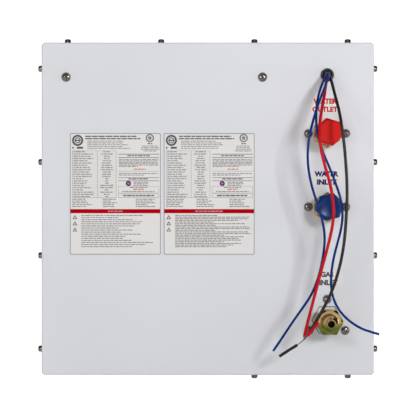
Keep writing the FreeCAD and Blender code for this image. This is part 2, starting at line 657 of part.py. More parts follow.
def port_cap(label, up, spin):
    """A six-sided plastic plug cap, closed at its outer end."""
    shell = hexagon("cap_hex_reach", "cap_reach - cap_start", ("port_across", "-cap_reach", up), spin=spin)
    hollow = rod("nipple_radius + cap_gap", "cap_floor - cap_start + 2", ("port_across", "-cap_floor", up))
    name_part(label, cut(shell, hollow))


def gas_inlet_fitting():
    """A brass flare union: hexagon, threaded nose and a 45 degree seat round the gas bore."""
    shank = rod("gas_shank_radius", "gas_hex_start + gas_valve_start",
                ("port_across", "-gas_hex_start", "gas_up"))
    hex_part = hexagon("gas_hex_reach", "gas_hex_end - gas_hex_start",
                       ("port_across", "-gas_hex_end", "gas_up"))
    thread = rod("flare_radius", "flare_thread_end - gas_hex_end",
                 ("port_across", "-flare_thread_end", "gas_up"))
    seat = cone("flare_tip_radius", "flare_radius - 0.6", "fitting_reach - flare_thread_end",
                ("port_across", "-fitting_reach", "gas_up"))
    bore = rod("gas_bore_radius", "fitting_reach + gas_valve_start + 2",
               ("port_across", "-fitting_reach - 1", "gas_up"))
    name_part("gas_inlet_fitting", cut(joined(shank, hex_part, thread, seat), bore))


def label_plates():
    """Thin printed plates: two large rating plates, and one small plate above each entry."""
    rating = [box("88.4", "label_thick", "118.2", (across, "-label_thick", "-44.7"))
              for across in ("-133.9", "-42.9")]
    name_part("rating_labels", group(*rating))
    places = [("99.2", "93.2"), ("101.6", "22.6"), ("101.6", "-74.9")]
    port = [box("29", "label_thick", "14.4", (across, "-label_thick", low)) for across, low in places]
    name_part("port_labels", group(*port))


def wires():
    """Four free wires and the two stripped ends; each is a plain tube along its own route."""
    for label, route, radius in (("wire_blue_right", BLUE_RIGHT_ROUTE, "blue_wire_radius"),
                                 ("wire_blue_left", BLUE_LEFT_ROUTE, "blue_wire_radius"),
                                 ("wire_red", RED_ROUTE, "power_wire_radius"),
                                 ("wire_black", BLACK_ROUTE, "power_wire_radius")):
        points = [(x, -out, z) for x, out, z in route]
        solid, radii, length = pipe_shape(points, SIZES[radius])
        name_part(label, feature(solid))
        print("%s: %.1f mm long, smallest arc %.1f mm, section %.1f mm across"
              % (label, length, min(radii), 2 * SIZES[radius]))
    for label, bare, slug in (("red_wire_tip", RED_BARE_ROUTE, RED_SLUG_ROUTE),
                              ("black_wire_tip", BLACK_BARE_ROUTE, BLACK_SLUG_ROUTE)):
        bare_points = [(x, -out, z) for x, out, z in bare]
        slug_points = [(x, -out, z) for x, out, z in slug]
        bare_end = pipe_shape(bare_points, SIZES["bare_wire_radius"])[0]
        slug_end = pipe_shape(slug_points, SIZES["power_wire_radius"])[0]
        name_part(label, feature(bare_end.fuse(slug_end)))


# ---- burner, heat exchanger and fan -------------------------------------------------------------

def core_place(forward, up):
    return "core_across", forward, up


def core_shell(bottom, top):
    """A rectangular sleeve of the core, open above and below."""
    outer = box("core_wide", "core_deep", "%s - %s" % (top, bottom),
                ("core_across - core_wide/2", "core_back", bottom))
    inner = box("core_wide - 2*core_sheet", "core_deep - 2*core_sheet", "%s - %s + 2" % (top, bottom),
                ("core_across - core_wide/2 + core_sheet", "core_back + core_sheet", "%s - 1" % bottom))
    return outer, inner


def core_bracket():
    """A rail screwed behind the panel, with a shelf that carries the core by its hood."""
    rail = box("216", "2", "19", ("-150", "panel_sheet", "hood_top"))
    shelf = box("100", "core_front - panel_sheet", "2", ("core_across - 50", "panel_sheet", "hood_top"))
    holes = [rod("shank_hole_radius", "9", (across, "-2", up)) for across, up in face_screw_places()]
    name_part("core_bracket", cut(joined(rail, shelf), *holes))


def bar_places():
    return ["core_across + bar_pitch*%.1f" % (step - (BURNER_BARS - 1) / 2) for step in range(BURNER_BARS)]


def burner():
    """The burner box with its floor slot and front holes, and the row of burner bars inside."""
    outer, inner = core_shell("burner_bottom", "burner_top")
    bottom = "burner_bottom"
    floor = box("core_wide - 2", "core_deep - 2", "core_sheet",
                ("core_across - core_wide/2 + 1", "core_back + 1", bottom))
    air_slot = box("41.6", "43.6", "4", ("core_across + 9.2", "fan_start + 3.2", "%s - 1" % bottom))
    jets = [rod("5", "6", (across, "core_front - 3", "manifold_up")) for across in bar_places()]
    wires_in = [rod("3.6", "6", ("core_across + %d" % shift, "core_front - 3", "3")) for shift in (-36, 36)]
    shell = cut(outer, inner)
    name_part("burner_box", cut(joined(shell, floor), air_slot, *jets, *wires_in))
    bars = []
    for across in bar_places():
        bar = box("bar_wide", "78", "34",
                  ("%s - bar_wide/2" % across, "core_back + 6", "%s + core_sheet" % bottom))
        groove = box("bar_wide/3", "70", "10", ("%s - bar_wide/6" % across, "core_back + 10", "-14"))
        bars.append(cut(bar, groove))
    name_part("burner_bars", group(*bars))


def heat_exchanger():
    """A copper sleeve, its row of fins and the water tube that passes through them four times."""
    outer, inner = core_shell("burner_top", "exchanger_top")
    runs = ["tube_first + tube_pitch*%d" % step for step in range(4)]
    through = [rod("tube_radius + 0.05", "core_wide + 40",
                   ("core_across - core_wide/2 - 20", run, "tube_up"), "+x") for run in runs]
    name_part("heat_exchanger_shell", cut(outer, inner, *through))
    fins = []
    for step in range(FIN_COUNT):
        across = "core_across + fin_pitch*%d" % (step - FIN_COUNT // 2)
        fins.append(box("fin_thick", "core_deep - 2*core_sheet", "40",
                        (across, "core_back + core_sheet", "tube_up - 20")))
    drills = [rod("tube_radius + 0.05", "core_wide", ("core_across - core_wide/2", run, "tube_up"), "+x")
              for run in runs]
    name_part("heat_exchanger_fins", cut(group(*fins), *drills))
    left, right = "-112", "28"
    path = [("tube_end", runs[0], "tube_up")]
    for index, (run, following) in enumerate(zip(runs, runs[1:])):
        end = left if index % 2 == 0 else right
        shift = " - 10" if index % 2 == 0 else " + 10"
        path += [(end + shift, run, "tube_up"), (end + shift, following, "tube_up")]
    path.append(("tube_end", runs[-1], "tube_up"))
    name_part("heat_exchanger_tubes", tube(path, "tube_radius", bend=9.8))


def flue():
    """The hood over the heat exchanger and the duct that leads from it to the door."""
    outer, inner = core_shell("exchanger_top", "hood_top")
    roof = box("core_wide - 2", "core_deep - 2", "core_sheet",
               ("core_across - core_wide/2 + 1", "core_back + 1", "hood_top - core_sheet"))
    mouth = slab("duct_wide - 2*core_sheet", "8", "duct_high - 2*core_sheet",
                 core_place("core_front - 5", "duct_up"))
    name_part("flue_hood", cut(joined(cut(outer, inner), roof), mouth))
    deep = "duct_end - core_front"
    sleeve = slab("duct_wide", deep, "duct_high", core_place("core_front", "duct_up"))
    bore = slab("duct_wide - 2*core_sheet", deep + " + 4", "duct_high - 2*core_sheet",
                core_place("core_front - 2", "duct_up"))
    name_part("exhaust_duct", cut(sleeve, bore))


def fan():
    """A centrifugal blower: a drum with an upward outlet, a motor behind it and a bladed wheel inside."""
    drum = rod("fan_radius", "fan_deep", core_place("fan_start", "fan_up"))
    outlet = box("44", "fan_deep - 4", "burner_bottom - fan_up",
                 ("core_across + 8", "fan_start + 2", "fan_up"))
    drum_hollow = rod("fan_radius - core_sheet", "fan_deep - 2*core_sheet",
                      core_place("fan_start + core_sheet", "fan_up"))
    outlet_hollow = box("41.6", "43.6", "burner_bottom - fan_up + 1",
                        ("core_across + 9.2", "fan_start + 3.2", "fan_up"))
    inlet = rod("22", "10", core_place("fan_start + fan_deep - 5", "fan_up"))
    shaft_hole = rod("6", "10", core_place("fan_start - 5", "fan_up"))
    name_part("fan_housing", cut(joined(drum, outlet), drum_hollow, outlet_hollow, inlet, shaft_hole))
    case = rod("motor_radius", "motor_end - motor_start", core_place("motor_start", "fan_up"))
    spacer = rod("12", "fan_start - motor_end", core_place("motor_end", "fan_up"))
    bearing = rod("fan_shaft_radius + shaft_gap", "24", core_place("motor_end - 20", "fan_up"))
    opening = rod("6", "8", core_place("motor_end", "fan_up"))
    name_part("fan_motor", cut(joined(case, spacer), bearing, opening))
    fan_impeller()


def fan_impeller():
    body = new_body("fan_impeller", ("core_across", "fan_start + 6", "fan_up"))
    disc = sketch_on(body, "XZ_Plane")
    draw_circle(disc, "impeller_radius")
    pad(body, disc, "2", backwards=True)
    hub = sketch_on(body, "XZ_Plane")
    draw_circle(hub, "7")
    pad(body, hub, "14", backwards=True)
    shaft = sketch_on(body, "XZ_Plane")
    draw_circle(shaft, "fan_shaft_radius")
    pad(body, shaft, "26")
    ring = sketch_on(body, "XZ_Plane", "-blade_high - 1")
    draw_circle(ring, "impeller_radius")
    draw_circle(ring, "impeller_radius - blade_long")
    pad(body, ring, "2", backwards=True)
    blade = sketch_on(body, "XZ_Plane", "-1")
    draw_rectangle(blade, "blade_long", "blade_thick", "impeller_radius - blade_long/2")
    last = pad(body, blade, "blade_high + 1", backwards=True)
    pattern = body.newObject("PartDesign::PolarPattern", "Blades")
    pattern.Originals = [last]
    pattern.Axis = (body_plane(body, "Y_Axis"), [""])
    pattern.Angle = 360
    pattern.Occurrences = FAN_BLADES
    body.Tip = pattern
    doc.recompute()


def core_fittings():
    """Igniter and flame sensor, the overheat switch and the spark transformer."""
    probes = []
    for shift in (-36, 36):
        across = "core_across + %d" % shift
        ceramic = rod("3.5", "18", (across, "core_front - 2", "3"))
        needle = rod("1", "60", (across, "core_front - 40", "3"))
        probes.append(joined(ceramic, needle))
    name_part("electrodes", group(*probes))
    disc = rod("9", "4", core_place("core_front", "tube_up"))
    switch = rod("6", "10", core_place("core_front", "tube_up"))
    name_part("overheat_thermostat", joined(disc, switch))
    name_part("ignition_transformer",
              box("30", "45", "40", ("-wrap_wide/2 + wrap_sheet", "core_back + 20", "-30")))


# ---- gas train ----------------------------------------------------------------------------------

def gas_train():
    """The gas valve with its two coils, the pipe to the manifold and the manifold's jets."""
    valve = box("valve_wide", "valve_deep", "valve_high", ("valve_across", "gas_valve_start", "gas_up - 23"))
    name_part("gas_valve", valve)
    coils = [rod("coil_radius", "coil_high", ("valve_across + %.1f" % shift, "gas_valve_start + 20",
                                              "gas_up + valve_high/2"), "+z") for shift in (11.5, 34.5)]
    name_part("gas_solenoids", group(*coils))
    high = "manifold_up"
    forward = "manifold_start + manifold_thick/2"
    route = [("valve_across", "60", "-100"), ("62", "60", "-100"), ("62", forward, "-100"),
             ("62", forward, high), ("22", forward, high)]
    name_part("gas_pipe", tube(route, "gas_pipe_radius", bend=14))
    rail = box("122", "manifold_thick", "12", ("-100", "manifold_start", high + " - 6"))
    jets = [rod("3", "12", (across, "manifold_start", high), "-y") for across in bar_places()]
    name_part("gas_manifold", joined(rail, *jets))


# ---- water side ---------------------------------------------------------------------------------

def water_side():
    """Cold line with its flow sensor and drain plug, and hot line with its relief valve."""
    inlet = rod("water_pipe_radius", "sensor_start - fitting_back",
                ("port_across", "fitting_back", "cold_up"))
    rise = tube([("port_across", "sensor_end", "cold_up"), ("port_across", "110", "cold_up"),
                 ("62", "110", "cold_up"), ("62", "tube_first", "tube_up"),
                 ("tube_end", "tube_first", "tube_up")], "water_pipe_radius", bend=12)
    boss = rod("9", "20", ("port_across", "104", "cold_up"))
    name_part("cold_pipe", group(inlet, joined(rise, boss)))
    plug = joined(hexagon("11", "12", ("port_across", "124", "cold_up")),
                  rod("8", "3", ("port_across", "136", "cold_up")))
    name_part("drain_plug", plug)
    hot = tube([("tube_end", "tube_first + 3*tube_pitch", "tube_up"),
                ("88", "tube_first + 3*tube_pitch", "tube_up"),
                ("port_across", "tube_first + 3*tube_pitch", "hot_up"),
                ("port_across", "fitting_back", "hot_up")], "water_pipe_radius", bend=14)
    tee = rod("10", "relief_start - 124", ("port_across", "124", "hot_up"))
    name_part("hot_pipe", joined(hot, tee))
    flow_sensor()
    relief_valve()


def flow_sensor():
    """A turbine in a clear bore: the rotor turns on a pin held by a spider at each end."""
    long = "sensor_end - sensor_start"
    case = rod("sensor_radius", long, ("port_across", "sensor_start", "cold_up"))
    bore = rod("turbine_radius + 0.6", long + " - 4", ("port_across", "sensor_start + 2", "cold_up"))
    ends = rod("5", long + " + 2", ("port_across", "sensor_start - 1", "cold_up"))
    pickup = box("16", "18", "12", ("port_across - 8", "sensor_start + 10", "cold_up + sensor_radius - 2"))
    shell = cut(joined(case, pickup), bore, ends)
    pin = rod("1", long, ("port_across", "sensor_start", "cold_up"))
    spokes = [slab("19", "1.5", "1.6", ("port_across", forward, "cold_up"))
              for forward in ("sensor_start + 2", "sensor_end - 3.5")]
    name_part("flow_sensor_body", joined(shell, pin, *spokes))
    start = "sensor_start + 13"
    hub = rod("3", "turbine_long", ("port_across", start, "cold_up"))
    vane_place = ("port_across", start + " + 1", "cold_up")
    vanes = [slab("turbine_radius*2 - 0.6", "turbine_long - 2", "1.2", vane_place),
             slab("1.2", "turbine_long - 2", "turbine_radius*2 - 0.6", vane_place)]
    hole = rod("1 + shaft_gap", "20", ("port_across", start + " - 4", "cold_up"))
    name_part("flow_turbine", cut(joined(hub, *vanes), hole))


def relief_valve():
    """A pressure relief valve on the hot line, with its discharge below and a test lever in front."""
    across = "port_across"
    hex_part = hexagon("13.9", "12", (across, "relief_start", "hot_up"))
    barrel = rod("11", "34", (across, "relief_start + 12", "hot_up"))
    outlet = rod("8", "26", (across, "relief_start + 28", "hot_up"), "-z")
    bonnet = rod("9", "16", (across, "relief_start + 46", "hot_up"))
    ears = [box("2", "12", "10", ("%s %s" % (across, shift), "relief_start + 60", "hot_up - 5"))
            for shift in ("- 6.5", "+ 4.5")]
    pin = rod("1.5", "13", (across + " - 6.5", "relief_start + 67", "hot_up"), "+x")
    outlet_bore = rod("6", "22", (across, "relief_start + 28", "hot_up - 6"), "-z")
    name_part("relief_valve", cut(joined(hex_part, barrel, outlet, bonnet, *ears, pin), outlet_bore))
    body = new_body("relief_lever", (across, "relief_start + 67", "hot_up"))
    side = sketch_on(body, "YZ_Plane")
    draw_outline(side, [("-2.6", "-2.6"), ("2.6", "-2.6"), ("2.6", "30"), ("6", "36"), ("6", "42"),
                        ("3.6", "42"), ("3.6", "37"), ("-0.4", "30"), ("-2.6", "6")])
    pad(body, side, "8", middle=True)
    bore = sketch_on(body, "YZ_Plane")
    draw_circle(bore, "1.5 + shaft_gap")
    pocket(body, bore, middle=True)


# ---- controls -----------------------------------------------------------------------------------

def control_box():
    """A steel box with a lid, the circuit board inside and the power switch in the lid."""
    body = new_body("control_box", ("box_across", "box_start", "box_up"))
    outline = sketch_on(body, "XZ_Plane")
    draw_rectangle(outline, "box_wide", "box_high")
    pad(body, outline, "box_deep", backwards=True)
    hollow = sketch_on(body, "XZ_Plane", "-box_sheet")
    draw_outline(hollow, [("-box_wide/2 + box_sheet", "-box_high/2 + box_sheet"),
                          ("box_wide/2 - box_sheet", "-box_high/2 + box_sheet"),
                          ("box_wide/2 - box_sheet", "box_high/2 - box_sheet"),
                          ("-box_wide/2 + box_sheet", "box_high/2 - box_sheet")])
    pocket(body, hollow)
    lid = slab("box_wide", "box_sheet", "box_high", ("box_across", "box_start + box_deep", "box_up"))
    window = slab("20", "8", "16", ("switch_across", "box_start + box_deep - 3", "switch_up"))
    name_part("control_box_lid", cut(lid, window))
    board = slab("104", "1.6", "66", ("box_across", "box_start + 9", "box_up"))
    standoffs = [rod("3", "7.5", ("box_across %s 46" % side, "box_start + box_sheet", "box_up %s 27" % rise))
                 for side in "-+" for rise in "-+"]
    relay = box("28", "16", "20", ("box_across - 40", "box_start + 10.6", "box_up - 20"))
    chips = box("30", "9", "14", ("box_across + 4", "box_start + 10.6", "box_up + 8"))
    name_part("control_board", joined(board, *standoffs, relay, chips))
    power_switch()


def power_switch():
    """A rocker switch: a frame in the lid's window and a rocker that turns on a pin across it."""
    front = "box_start + box_deep + box_sheet"
    frame = slab("24", "2", "20", ("switch_across", front, "switch_up"))
    case = slab("20", "18", "16", ("switch_across", front + " - 18", "switch_up"))
    well = slab("16", "20", "13", ("switch_across", front + " - 10", "switch_up"))
    pin = rod("1.2", "18", ("switch_across - 9", "rocker_forward", "switch_up"), "+x")
    name_part("power_switch_body", joined(cut(joined(frame, case), well), pin))
    body = new_body("power_rocker", ("switch_across", "rocker_forward", "switch_up"),
                    Rotation(AXES["+x"], ROCKER_TILT))
    side = sketch_on(body, "YZ_Plane")
    draw_outline(side, [("-3", "-4"), ("-3", "4"), ("4", "5.4"), ("3", "0"), ("4", "-5.4")])
    pad(body, side, "15.2", middle=True)
    bore = sketch_on(body, "YZ_Plane")
    draw_circle(bore, "1.2 + shaft_gap")
    pocket(body, bore, middle=True)


def check_and_export():
    """Stop on any failed object or bad shape, then write one file for each sub-part."""
    doc.recompute()
    for item in doc.Objects:
        if {"Invalid", "Error"} & set(item.State):
            raise ValueError("%s (%s) failed" % (item.Name, item.Label))
    os.makedirs("parts", exist_ok=True)
    for part in sub_parts:
        if part.Shape.isNull() or not part.Shape.isValid():
            raise ValueError("%s has a bad shape" % part.Label)
    for part in sub_parts:
        part.Shape.exportStep("parts/%s.step" % part.Label)
    print("%d sub-parts written" % len(sub_parts))


make_sheet()
connection_panel()
wrap_sheets()
case_screws()
wall_flange()
flange_gasket()
access_door()
exhaust_grille()
hinges()
latches()
port_screws()
port_brackets()
wire_grommet()
water_fitting("hot_outlet_fitting", "hot_up")
water_fitting("cold_inlet_fitting", "cold_up")
port_cap("hot_port_cap", "hot_up", 17)
port_cap("cold_port_cap", "cold_up", 47)
gas_inlet_fitting()
label_plates()
wires()
core_bracket()
burner()
heat_exchanger()
flue()
fan()
core_fittings()
gas_train()
water_side()
control_box()
check_and_export()
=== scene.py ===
# %% [markdown]
# # A direct-vent tankless water heater, dressed over its CAD frame
# The CAD model settles every size, joint and hidden part. This lesson keeps the CAD solids whose
# shape is already right, and gives them real finishes. It replaces the ones that need finer form:
# screws, caps, brass unions, printed plates and wires. All numbers are metres, in the CAD's frame.

# %% The frame and its places
import math
import random

import bmesh
import bpy
from mathutils import Matrix, Vector


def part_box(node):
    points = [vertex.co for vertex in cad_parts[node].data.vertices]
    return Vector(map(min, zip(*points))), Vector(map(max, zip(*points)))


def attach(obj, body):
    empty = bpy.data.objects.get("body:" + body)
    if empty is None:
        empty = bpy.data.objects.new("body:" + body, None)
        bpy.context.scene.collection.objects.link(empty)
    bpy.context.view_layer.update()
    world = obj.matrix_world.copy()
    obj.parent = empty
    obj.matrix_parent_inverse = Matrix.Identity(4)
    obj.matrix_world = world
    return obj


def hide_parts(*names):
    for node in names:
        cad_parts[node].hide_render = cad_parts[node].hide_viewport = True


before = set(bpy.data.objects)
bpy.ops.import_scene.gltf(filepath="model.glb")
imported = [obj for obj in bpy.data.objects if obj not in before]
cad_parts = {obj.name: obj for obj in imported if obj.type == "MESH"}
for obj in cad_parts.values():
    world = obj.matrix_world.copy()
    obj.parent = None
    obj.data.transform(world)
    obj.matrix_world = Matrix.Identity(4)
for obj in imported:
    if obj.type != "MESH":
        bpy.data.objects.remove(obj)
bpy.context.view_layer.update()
MM = 0.001
panel_low, panel_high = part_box("connection_panel")
PANEL_Y = panel_low[1]
MIDDLE_Z = (panel_low[2] + panel_high[2]) / 2
CASE_HALF = (panel_high[0] - panel_low[0]) / 2
print("panel face at y = %.4f m, case middle at z = %.4f m" % (PANEL_Y, MIDDLE_Z))


def place(across, out, up):
    """A point from millimetres across, out of the panel and up, measured as the CAD measures them."""
    return Vector((across * MM, PANEL_Y - out * MM, MIDDLE_Z + up * MM))


def middle(node):
    low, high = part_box(node)
    return Vector([(a + b) / 2 for a, b in zip(low, high)])


def belongs(piece, body, slot, *nodes):
    """Hangs a piece on the body it rides on and hides the CAD nodes it stands for; the slot is not used."""
    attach(piece, body)
    if nodes:
        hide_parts(*nodes)
    return piece


# %% [markdown]
# ## Camera first
# A catalogue picture of an appliance's back is taken straight on with a long lens, so the near
# and far parts differ little in size. The camera stands 1.4 m from the panel, level with its middle.
# The plain colour view is used, because a paint card's colours should arrive as they were mixed.

# %% Camera
VIEW_DISTANCE = 1.4
VIEW_WIDTH = 0.4036
VIEW_ACROSS = 0.2 * MM
VIEW_UP = 0.7 * MM
camera_data = bpy.data.cameras.new("studio_camera")
camera_data.sensor_width = 36
camera_data.lens = camera_data.sensor_width * VIEW_DISTANCE / VIEW_WIDTH
camera_data.clip_end = 50
camera = bpy.data.objects.new("studio_camera", camera_data)
camera.location = (VIEW_ACROSS, PANEL_Y - VIEW_DISTANCE, MIDDLE_Z + VIEW_UP)
camera.rotation_euler = (math.radians(90), 0, 0)
bpy.context.collection.objects.link(camera)
bpy.context.scene.camera = camera
bpy.context.scene.view_settings.view_transform = "Standard"
print("lens %.0f mm" % camera_data.lens)

# %% [markdown]
# ## Finishes
# Every finish is a Principled shader fed by small patterns: a mottle that shifts colour and gloss a
# little, and a height that makes a fine bump. Two node groups hold the patterns that many finishes
# share, so that each material only states its own scale and strength.

# %% Shared pattern groups


def add(tree, kind, settings=None, **inputs):
    """A new node; an input is a number, a colour or the output that feeds it."""
    node = tree.nodes.new(kind)
    for name, value in (settings or {}).items():
        setattr(node, name, value)
    for name, value in inputs.items():
        socket = node.inputs[name.replace("_", " ")]
        if isinstance(value, bpy.types.NodeSocket):
            tree.links.new(value, socket)
        else:
            socket.default_value = value
    return node


def new_group(name, kind, inputs, outputs):
    """A node group, with the sockets that it is given and the sockets that it fills."""
    group = bpy.data.node_groups.new(name, kind)
    for label, (socket_kind, value) in inputs.items():
        socket = group.interface.new_socket(label, in_out="INPUT", socket_type="NodeSocket" + socket_kind)
        if value is not None:
            socket.default_value = value
    for label, socket_kind in outputs.items():
        group.interface.new_socket(label, in_out="OUTPUT", socket_type="NodeSocket" + socket_kind)
    return group, group.nodes.new("NodeGroupInput").outputs, group.nodes.new("NodeGroupOutput").inputs


def mottle_group():
    """Soft cloudy variation, with a mask to mix by and a finer height for a bump."""
    group, given, result = new_group(
        "soft mottle", "ShaderNodeTree",
        {"Vector": ("Vector", None), "Cloud Scale": ("Float", 40), "Grain Scale": ("Float", 900)},
        {"Mask": "Float", "Height": "Float"})
    cloud = add(group, "ShaderNodeTexNoise", Vector=given["Vector"], Scale=given["Cloud Scale"], Detail=5)
    grain = add(group, "ShaderNodeTexNoise", Vector=given["Vector"], Scale=given["Grain Scale"], Detail=2)
    spread = add(group, "ShaderNodeMapRange", Value=cloud.outputs["Fac"], From_Min=0.3, From_Max=0.7)
    group.links.new(spread.outputs["Result"], result["Mask"])
    group.links.new(grain.outputs["Fac"], result["Height"])
    return group


def brushed_group():
    """Long fine scratches along one direction, as on drawn, rolled or turned metal."""
    group, given, result = new_group(
        "brushed lines", "ShaderNodeTree",
        {"Vector": ("Vector", None), "Stretch": ("Vector", (20, 900, 900))},
        {"Mask": "Float", "Height": "Float"})
    scale = add(group, "ShaderNodeVectorMath", {"operation": "MULTIPLY"}, Vector=given["Vector"])
    group.links.new(given["Stretch"], scale.inputs[1])
    lines = add(group, "ShaderNodeTexNoise", Vector=scale.outputs["Vector"], Scale=1, Detail=4)
    for socket in ("Mask", "Height"):
        group.links.new(lines.outputs["Fac"], result[socket])
    return group


SOFT_MOTTLE = mottle_group()
BRUSHED_LINES = brushed_group()
print("pattern groups:", SOFT_MOTTLE.name, "and", BRUSHED_LINES.name)

# %% [markdown]
# ## One recipe for a finish
# A function reads like a paint card: two close colours, how metallic, how rough, how coarse the
# clouds and the grain are. What is the same all over stays on the shader's own socket; only what
# changes over the surface comes through nodes.

# %% A finish from a paint card
COAT_ROUGH = 0.1


def finish(name, light, dark, metallic=0.0, rough=(0.4, 0.5), cloud=40, grain=900, bump=0.1,
           depth=0.00005, stretch=None, coat=0.0, specular=0.5):
    """A material from its paint card; a stretch makes its marks brushed lines instead of a mottle."""
    material = bpy.data.materials.new(name)
    material.use_nodes = True
    tree = material.node_tree
    shader = tree.nodes["Principled BSDF"]
    for socket, value in (("Metallic", metallic), ("Coat Weight", coat), ("Coat Roughness", COAT_ROUGH),
                          ("Specular IOR Level", specular)):
        shader.inputs[socket].default_value = value
    where = add(tree, "ShaderNodeTexCoord").outputs["Object"]
    if stretch:
        marks = add(tree, "ShaderNodeGroup", {"node_tree": BRUSHED_LINES}, Vector=where, Stretch=stretch)
    else:
        marks = add(tree, "ShaderNodeGroup", {"node_tree": SOFT_MOTTLE}, Vector=where, Cloud_Scale=cloud,
                    Grain_Scale=grain)
    mask = marks.outputs["Mask"]
    colours = add(tree, "ShaderNodeMix", {"data_type": "RGBA"}, A=(*light, 1), B=(*dark, 1), Factor=mask)
    gloss = add(tree, "ShaderNodeMapRange", Value=mask, To_Min=rough[0], To_Max=rough[1])
    bumps = add(tree, "ShaderNodeBump", Strength=bump, Distance=depth, Height=marks.outputs["Height"])
    for result, socket in ((colours.outputs["Result"], "Base Color"), (gloss.outputs["Result"], "Roughness"),
                           (bumps.outputs["Normal"], "Normal")):
        tree.links.new(result, shader.inputs[socket])
    return material


POWDER_COAT = finish("white powder coat", (0.715, 0.722, 0.755), (0.685, 0.692, 0.722),
                     rough=(0.42, 0.5), cloud=6, grain=1500, bump=0.22, depth=0.00012, specular=0.35)
ZINC_STEEL = finish("galvanised steel", (0.66, 0.67, 0.69), (0.54, 0.55, 0.57), metallic=0.6,
                    rough=(0.4, 0.55), cloud=38, grain=600)
ZINC_PLATE = finish("bright zinc plate", (0.75, 0.76, 0.77), (0.63, 0.64, 0.66), metallic=0.9,
                    rough=(0.25, 0.4), cloud=70, grain=1200, bump=0.08)
NICKEL = finish("dark nickel plate", (0.33, 0.305, 0.285), (0.15, 0.138, 0.13), metallic=1.0,
                rough=(0.07, 0.15), cloud=500, grain=2200, bump=0.06)
BRASS = finish("turned brass", (0.66, 0.44, 0.15), (0.46, 0.29, 0.09), metallic=1.0,
               rough=(0.14, 0.26), stretch=(30, 1800, 30), bump=0.05)
RED_CAP = finish("glossy red plastic", (0.70, 0.012, 0.009), (0.62, 0.008, 0.006), rough=(0.14, 0.24),
                 cloud=60, grain=700, bump=0.05, specular=0.2)
BLUE_CAP = finish("glossy blue plastic", (0.003, 0.034, 0.165), (0.002, 0.027, 0.135), rough=(0.16, 0.28),
                  cloud=60, grain=700, bump=0.05, specular=0.2)
# Painted shadow: this near-black finish stands for the shadowed gap at the gas cut-out's edge.
RING_WITH_PAINTED_SHADOW = finish("cut edge with painted shadow", (0.02, 0.019, 0.02), (0.05, 0.047, 0.05), rough=(0.5, 0.65), cloud=300,
                   specular=0.2)
RUBBER = finish("black rubber", (0.008, 0.008, 0.009), (0.014, 0.014, 0.015), rough=(0.28, 0.4),
                cloud=200, grain=1500, bump=0.2, depth=0.0001)
FOAM = finish("grey gasket foam", (0.06, 0.06, 0.065), (0.03, 0.03, 0.033), rough=(0.8, 0.95),
              cloud=300, grain=1100, bump=0.6, depth=0.0004)
LABEL_FILM = finish("printed label film", (0.76, 0.742, 0.725), (0.73, 0.712, 0.695), rough=(0.38, 0.46),
                    cloud=25, grain=400, bump=0.03)
PORT_FILM = finish("cream label film", (0.75, 0.725, 0.70), (0.72, 0.695, 0.67), rough=(0.38, 0.46),
                   cloud=25, grain=400, bump=0.03)
GREY_INK = finish("grey ink", (0.15, 0.145, 0.15), (0.21, 0.205, 0.21), rough=(0.45, 0.55), cloud=300)
PALE_INK = finish("pale grey ink", (0.40, 0.39, 0.385), (0.46, 0.45, 0.445), rough=(0.45, 0.55), cloud=300)
DARK_INK = finish("dark ink", (0.035, 0.033, 0.04), (0.06, 0.058, 0.066), cloud=300)
RED_INK = finish("red ink", (0.46, 0.001, 0.007), (0.40, 0.001, 0.005), rough=(0.5, 0.6), cloud=120,
                 specular=0.0)
BAND_INK = finish("pink ink", (0.60, 0.20, 0.21), (0.54, 0.17, 0.18), cloud=300)
PORT_RED = finish("bright red ink", (0.58, 0.028, 0.016), (0.52, 0.022, 0.012), cloud=120, specular=0.2)
LIGHT_RED_INK = finish("light red ink", (0.70, 0.12, 0.08), (0.62, 0.10, 0.06), cloud=300)
NAVY_INK = finish("navy ink", (0.006, 0.010, 0.12), (0.010, 0.014, 0.15), rough=(0.45, 0.55), cloud=300,
                  specular=0.1)
BLUE_WIRE = finish("blue vinyl", (0.002, 0.029, 0.20), (0.001, 0.021, 0.15), rough=(0.3, 0.42),
                   cloud=150, grain=1500, bump=0.06, specular=0.12)
RED_WIRE = finish("red vinyl", (0.57, 0.006, 0.016), (0.48, 0.004, 0.012), rough=(0.3, 0.42),
                  cloud=150, grain=1500, bump=0.06, specular=0.12)
BLACK_WIRE = finish("black vinyl", (0.013, 0.010, 0.012), (0.020, 0.016, 0.018), rough=(0.34, 0.46),
                    cloud=150, grain=1500, specular=0.3)
TINNED = finish("tinned strands", (0.12, 0.115, 0.11), (0.04, 0.038, 0.036), metallic=1.0,
                rough=(0.3, 0.5), cloud=900, grain=3000, bump=0.3, depth=0.0001)
COPPER = finish("drawn copper", (0.78, 0.40, 0.26), (0.52, 0.25, 0.16), metallic=1.0,
                rough=(0.22, 0.42), cloud=45, bump=0.08)
HOT_COPPER = finish("heat-tinted copper", (0.62, 0.33, 0.24), (0.28, 0.16, 0.15), metallic=1.0,
                    rough=(0.3, 0.5), cloud=28, grain=800, bump=0.12)
STAINLESS = finish("brushed stainless steel", (0.60, 0.60, 0.61), (0.44, 0.44, 0.45), metallic=1.0,
                   rough=(0.24, 0.4), stretch=(15, 900, 1400), bump=0.08)
CASTING = finish("cast aluminium", (0.60, 0.61, 0.62), (0.42, 0.43, 0.44), metallic=0.9,
                 rough=(0.45, 0.62), cloud=120, grain=1400, bump=0.5, depth=0.0002)
BLACK_MOULDING = finish("black moulded plastic", (0.018, 0.018, 0.02), (0.03, 0.03, 0.032),
                        rough=(0.42, 0.58), cloud=80, grain=1800, bump=0.3, depth=0.0001)
BOARD = finish("green circuit board", (0.008, 0.10, 0.04), (0.02, 0.17, 0.07), rough=(0.3, 0.45),
               cloud=160, bump=0.15, coat=0.3)
CERAMIC = finish("glazed ceramic", (0.78, 0.76, 0.70), (0.68, 0.65, 0.58), rough=(0.15, 0.3),
                 cloud=90, grain=1200, bump=0.06, coat=0.4)
print("%d finishes mixed" % len(bpy.data.materials))
